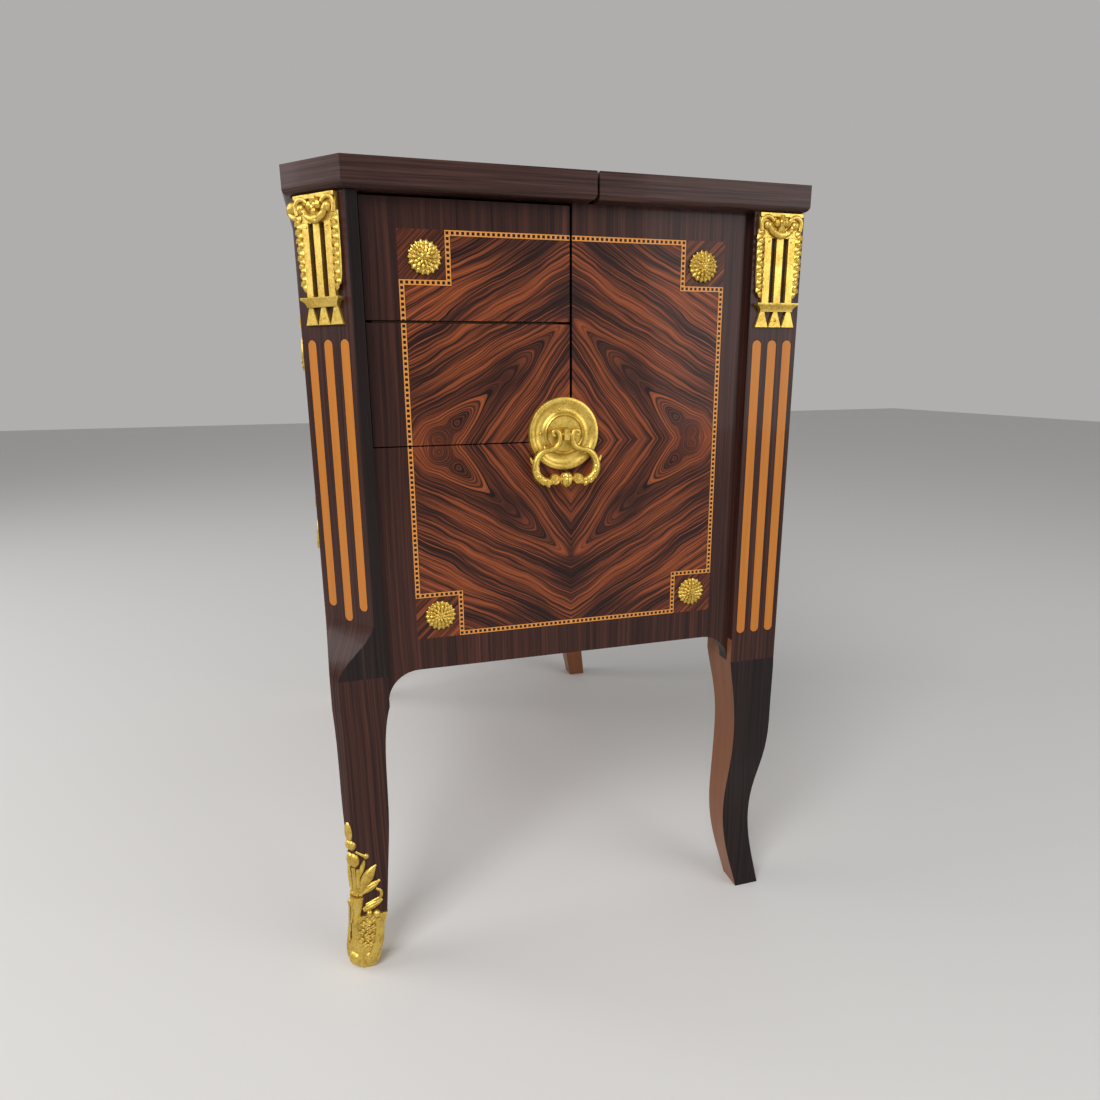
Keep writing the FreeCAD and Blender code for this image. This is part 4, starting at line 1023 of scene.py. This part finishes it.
def draped(rows, lift):
    """Rows of a path laid on the leg, lifted from it."""
    laid = []
    for across, rise, half in rows:
        x, y, out = on_leg(across, rise)
        laid.append((x, y, out + lift, half))
    return laid


def leg_spray(mount, place, flip):
    """Leaves, scrolls, buds and toe lobes on one face of a leg."""
    for paths, (lift, thick) in ((SPRAY, SPRAY_LAY), (RIBS, RIB_LAY), ([CRESCENT], CRESCENT_LAY)):
        for rows in paths:
            mount.add(frond(draped(rows, lift), thick), place, flip=flip)
    for spots, sunk in ((BUDS, BUD_SUNK), (LOBES, LOBE_SUNK)):
        for (across, rise), radius, tall in spots:
            x, y, out = on_leg(across, rise)
            mount.add(ball(radius, tall, 16), place, (flip * x, y, out - radius * sunk))
    for seed, line in enumerate(ROUGH_LINES):
        path = [row[:3] for row in draped(line, ROUGH_LIFT)]
        for lean in ROUGH_LEANS:
            mount.add(garland(path, 7, lean, leaf(6.4, 4.4, 1.5, 0.4), seed), place, flip=flip)


def set_sabots():
    """Toe and leaves of each front leg, on its end face and on its front face."""
    for end, side in ENDS:
        mount = Mount("sabot_leaves_" + end)
        mount.add(toe(end, side), Matrix.Identity(4))
        corner = (side * POST_X, POST_FRONT_Y, 0)
        leg_spray(mount, facing(corner, (side, 0, 0)), side)
        leg_spray(mount, facing(corner, (0, -1, 0)), -side)
        mount.finish("carcass", "sabot_" + end)


hang_handles()
set_rosettes()
set_chutes()
set_sabots()


# Floor, light and camera
FLOOR_SIDE = 14.0
FLOOR_MIDDLE = (-1.5, 1.0, 0.0)
# Lights: name, place, what each is aimed at, side and power in watts
LIGHTS = [
    ("key_light", (2.2, -1.6, 2.4), (0.1, 0.0, 0.45), 1.6, 70.0),
    ("fill_light", (2.2, 1.8, 1.2), (0.1, 0.0, 0.4), 1.8, 26.0),
    ("front_light", (-0.6, -2.8, 1.8), (0.0, 0.0, 0.5), 1.8, 40.0),
]
CAMERA_PLACE = (1.02349, POST_FRONT_Y + 0.02472, 0.60986)
CAMERA_YAW = 0.27788
CAMERA_PITCH = 0.24087
CAMERA_ROLL = -0.0077
CAMERA_LENS = 24.0
CAMERA_SENSOR = 36.0


def pale_floor():
    bpy.ops.mesh.primitive_plane_add(size=FLOOR_SIDE, location=FLOOR_MIDDLE)
    floor = bpy.context.object
    floor.name = "studio_floor"
    finish = Finish("pale_floor")
    floor.data.materials.append(finish.set(Base_Color=colour(0.62, 0.61, 0.60), Roughness=0.8))


def soft_light(name, place, aim, side, power):
    """Square soft light."""
    data = bpy.data.lights.new(name, "AREA")
    data.shape = "RECTANGLE"
    data.size = data.size_y = side
    data.energy = power
    lamp = bpy.data.objects.new(name, data)
    lamp.location = place
    lamp.rotation_euler = (Vector(aim) - Vector(place)).to_track_quat("-Z", "Y").to_euler()
    bpy.context.collection.objects.link(lamp)


def studio_world():
    world = bpy.data.worlds.new("studio")
    world.use_nodes = True
    backdrop = world.node_tree.nodes["Background"]
    backdrop.inputs["Color"].default_value = colour(0.78, 0.77, 0.76)
    backdrop.inputs["Strength"].default_value = 0.55
    bpy.context.scene.world = world


def photo_camera():
    """Camera at the end of the desk, a little above its middle, with a wide lens."""
    yaw, pitch, roll = CAMERA_YAW, CAMERA_PITCH, CAMERA_ROLL
    data = bpy.data.cameras.new("photo_camera")
    data.sensor_width = CAMERA_SENSOR
    data.lens = CAMERA_LENS
    forward = Vector((-math.cos(yaw) * math.cos(pitch), math.sin(yaw) * math.cos(pitch), -math.sin(pitch)))
    right = Vector((math.sin(yaw), math.cos(yaw), 0.0))
    up = right.cross(forward)
    side = right * math.cos(roll) + up * math.sin(roll)
    rise = up * math.cos(roll) - right * math.sin(roll)
    camera = bpy.data.objects.new("photo_camera", data)
    turn = Matrix((side, rise, -forward)).transposed()
    camera.matrix_world = Matrix.Translation(CAMERA_PLACE) @ turn.to_4x4()
    bpy.context.collection.objects.link(camera)
    bpy.context.scene.camera = camera


pale_floor()
studio_world()
for light in LIGHTS:
    soft_light(*light)
photo_camera()
bpy.context.scene.view_settings.view_transform = "Standard"
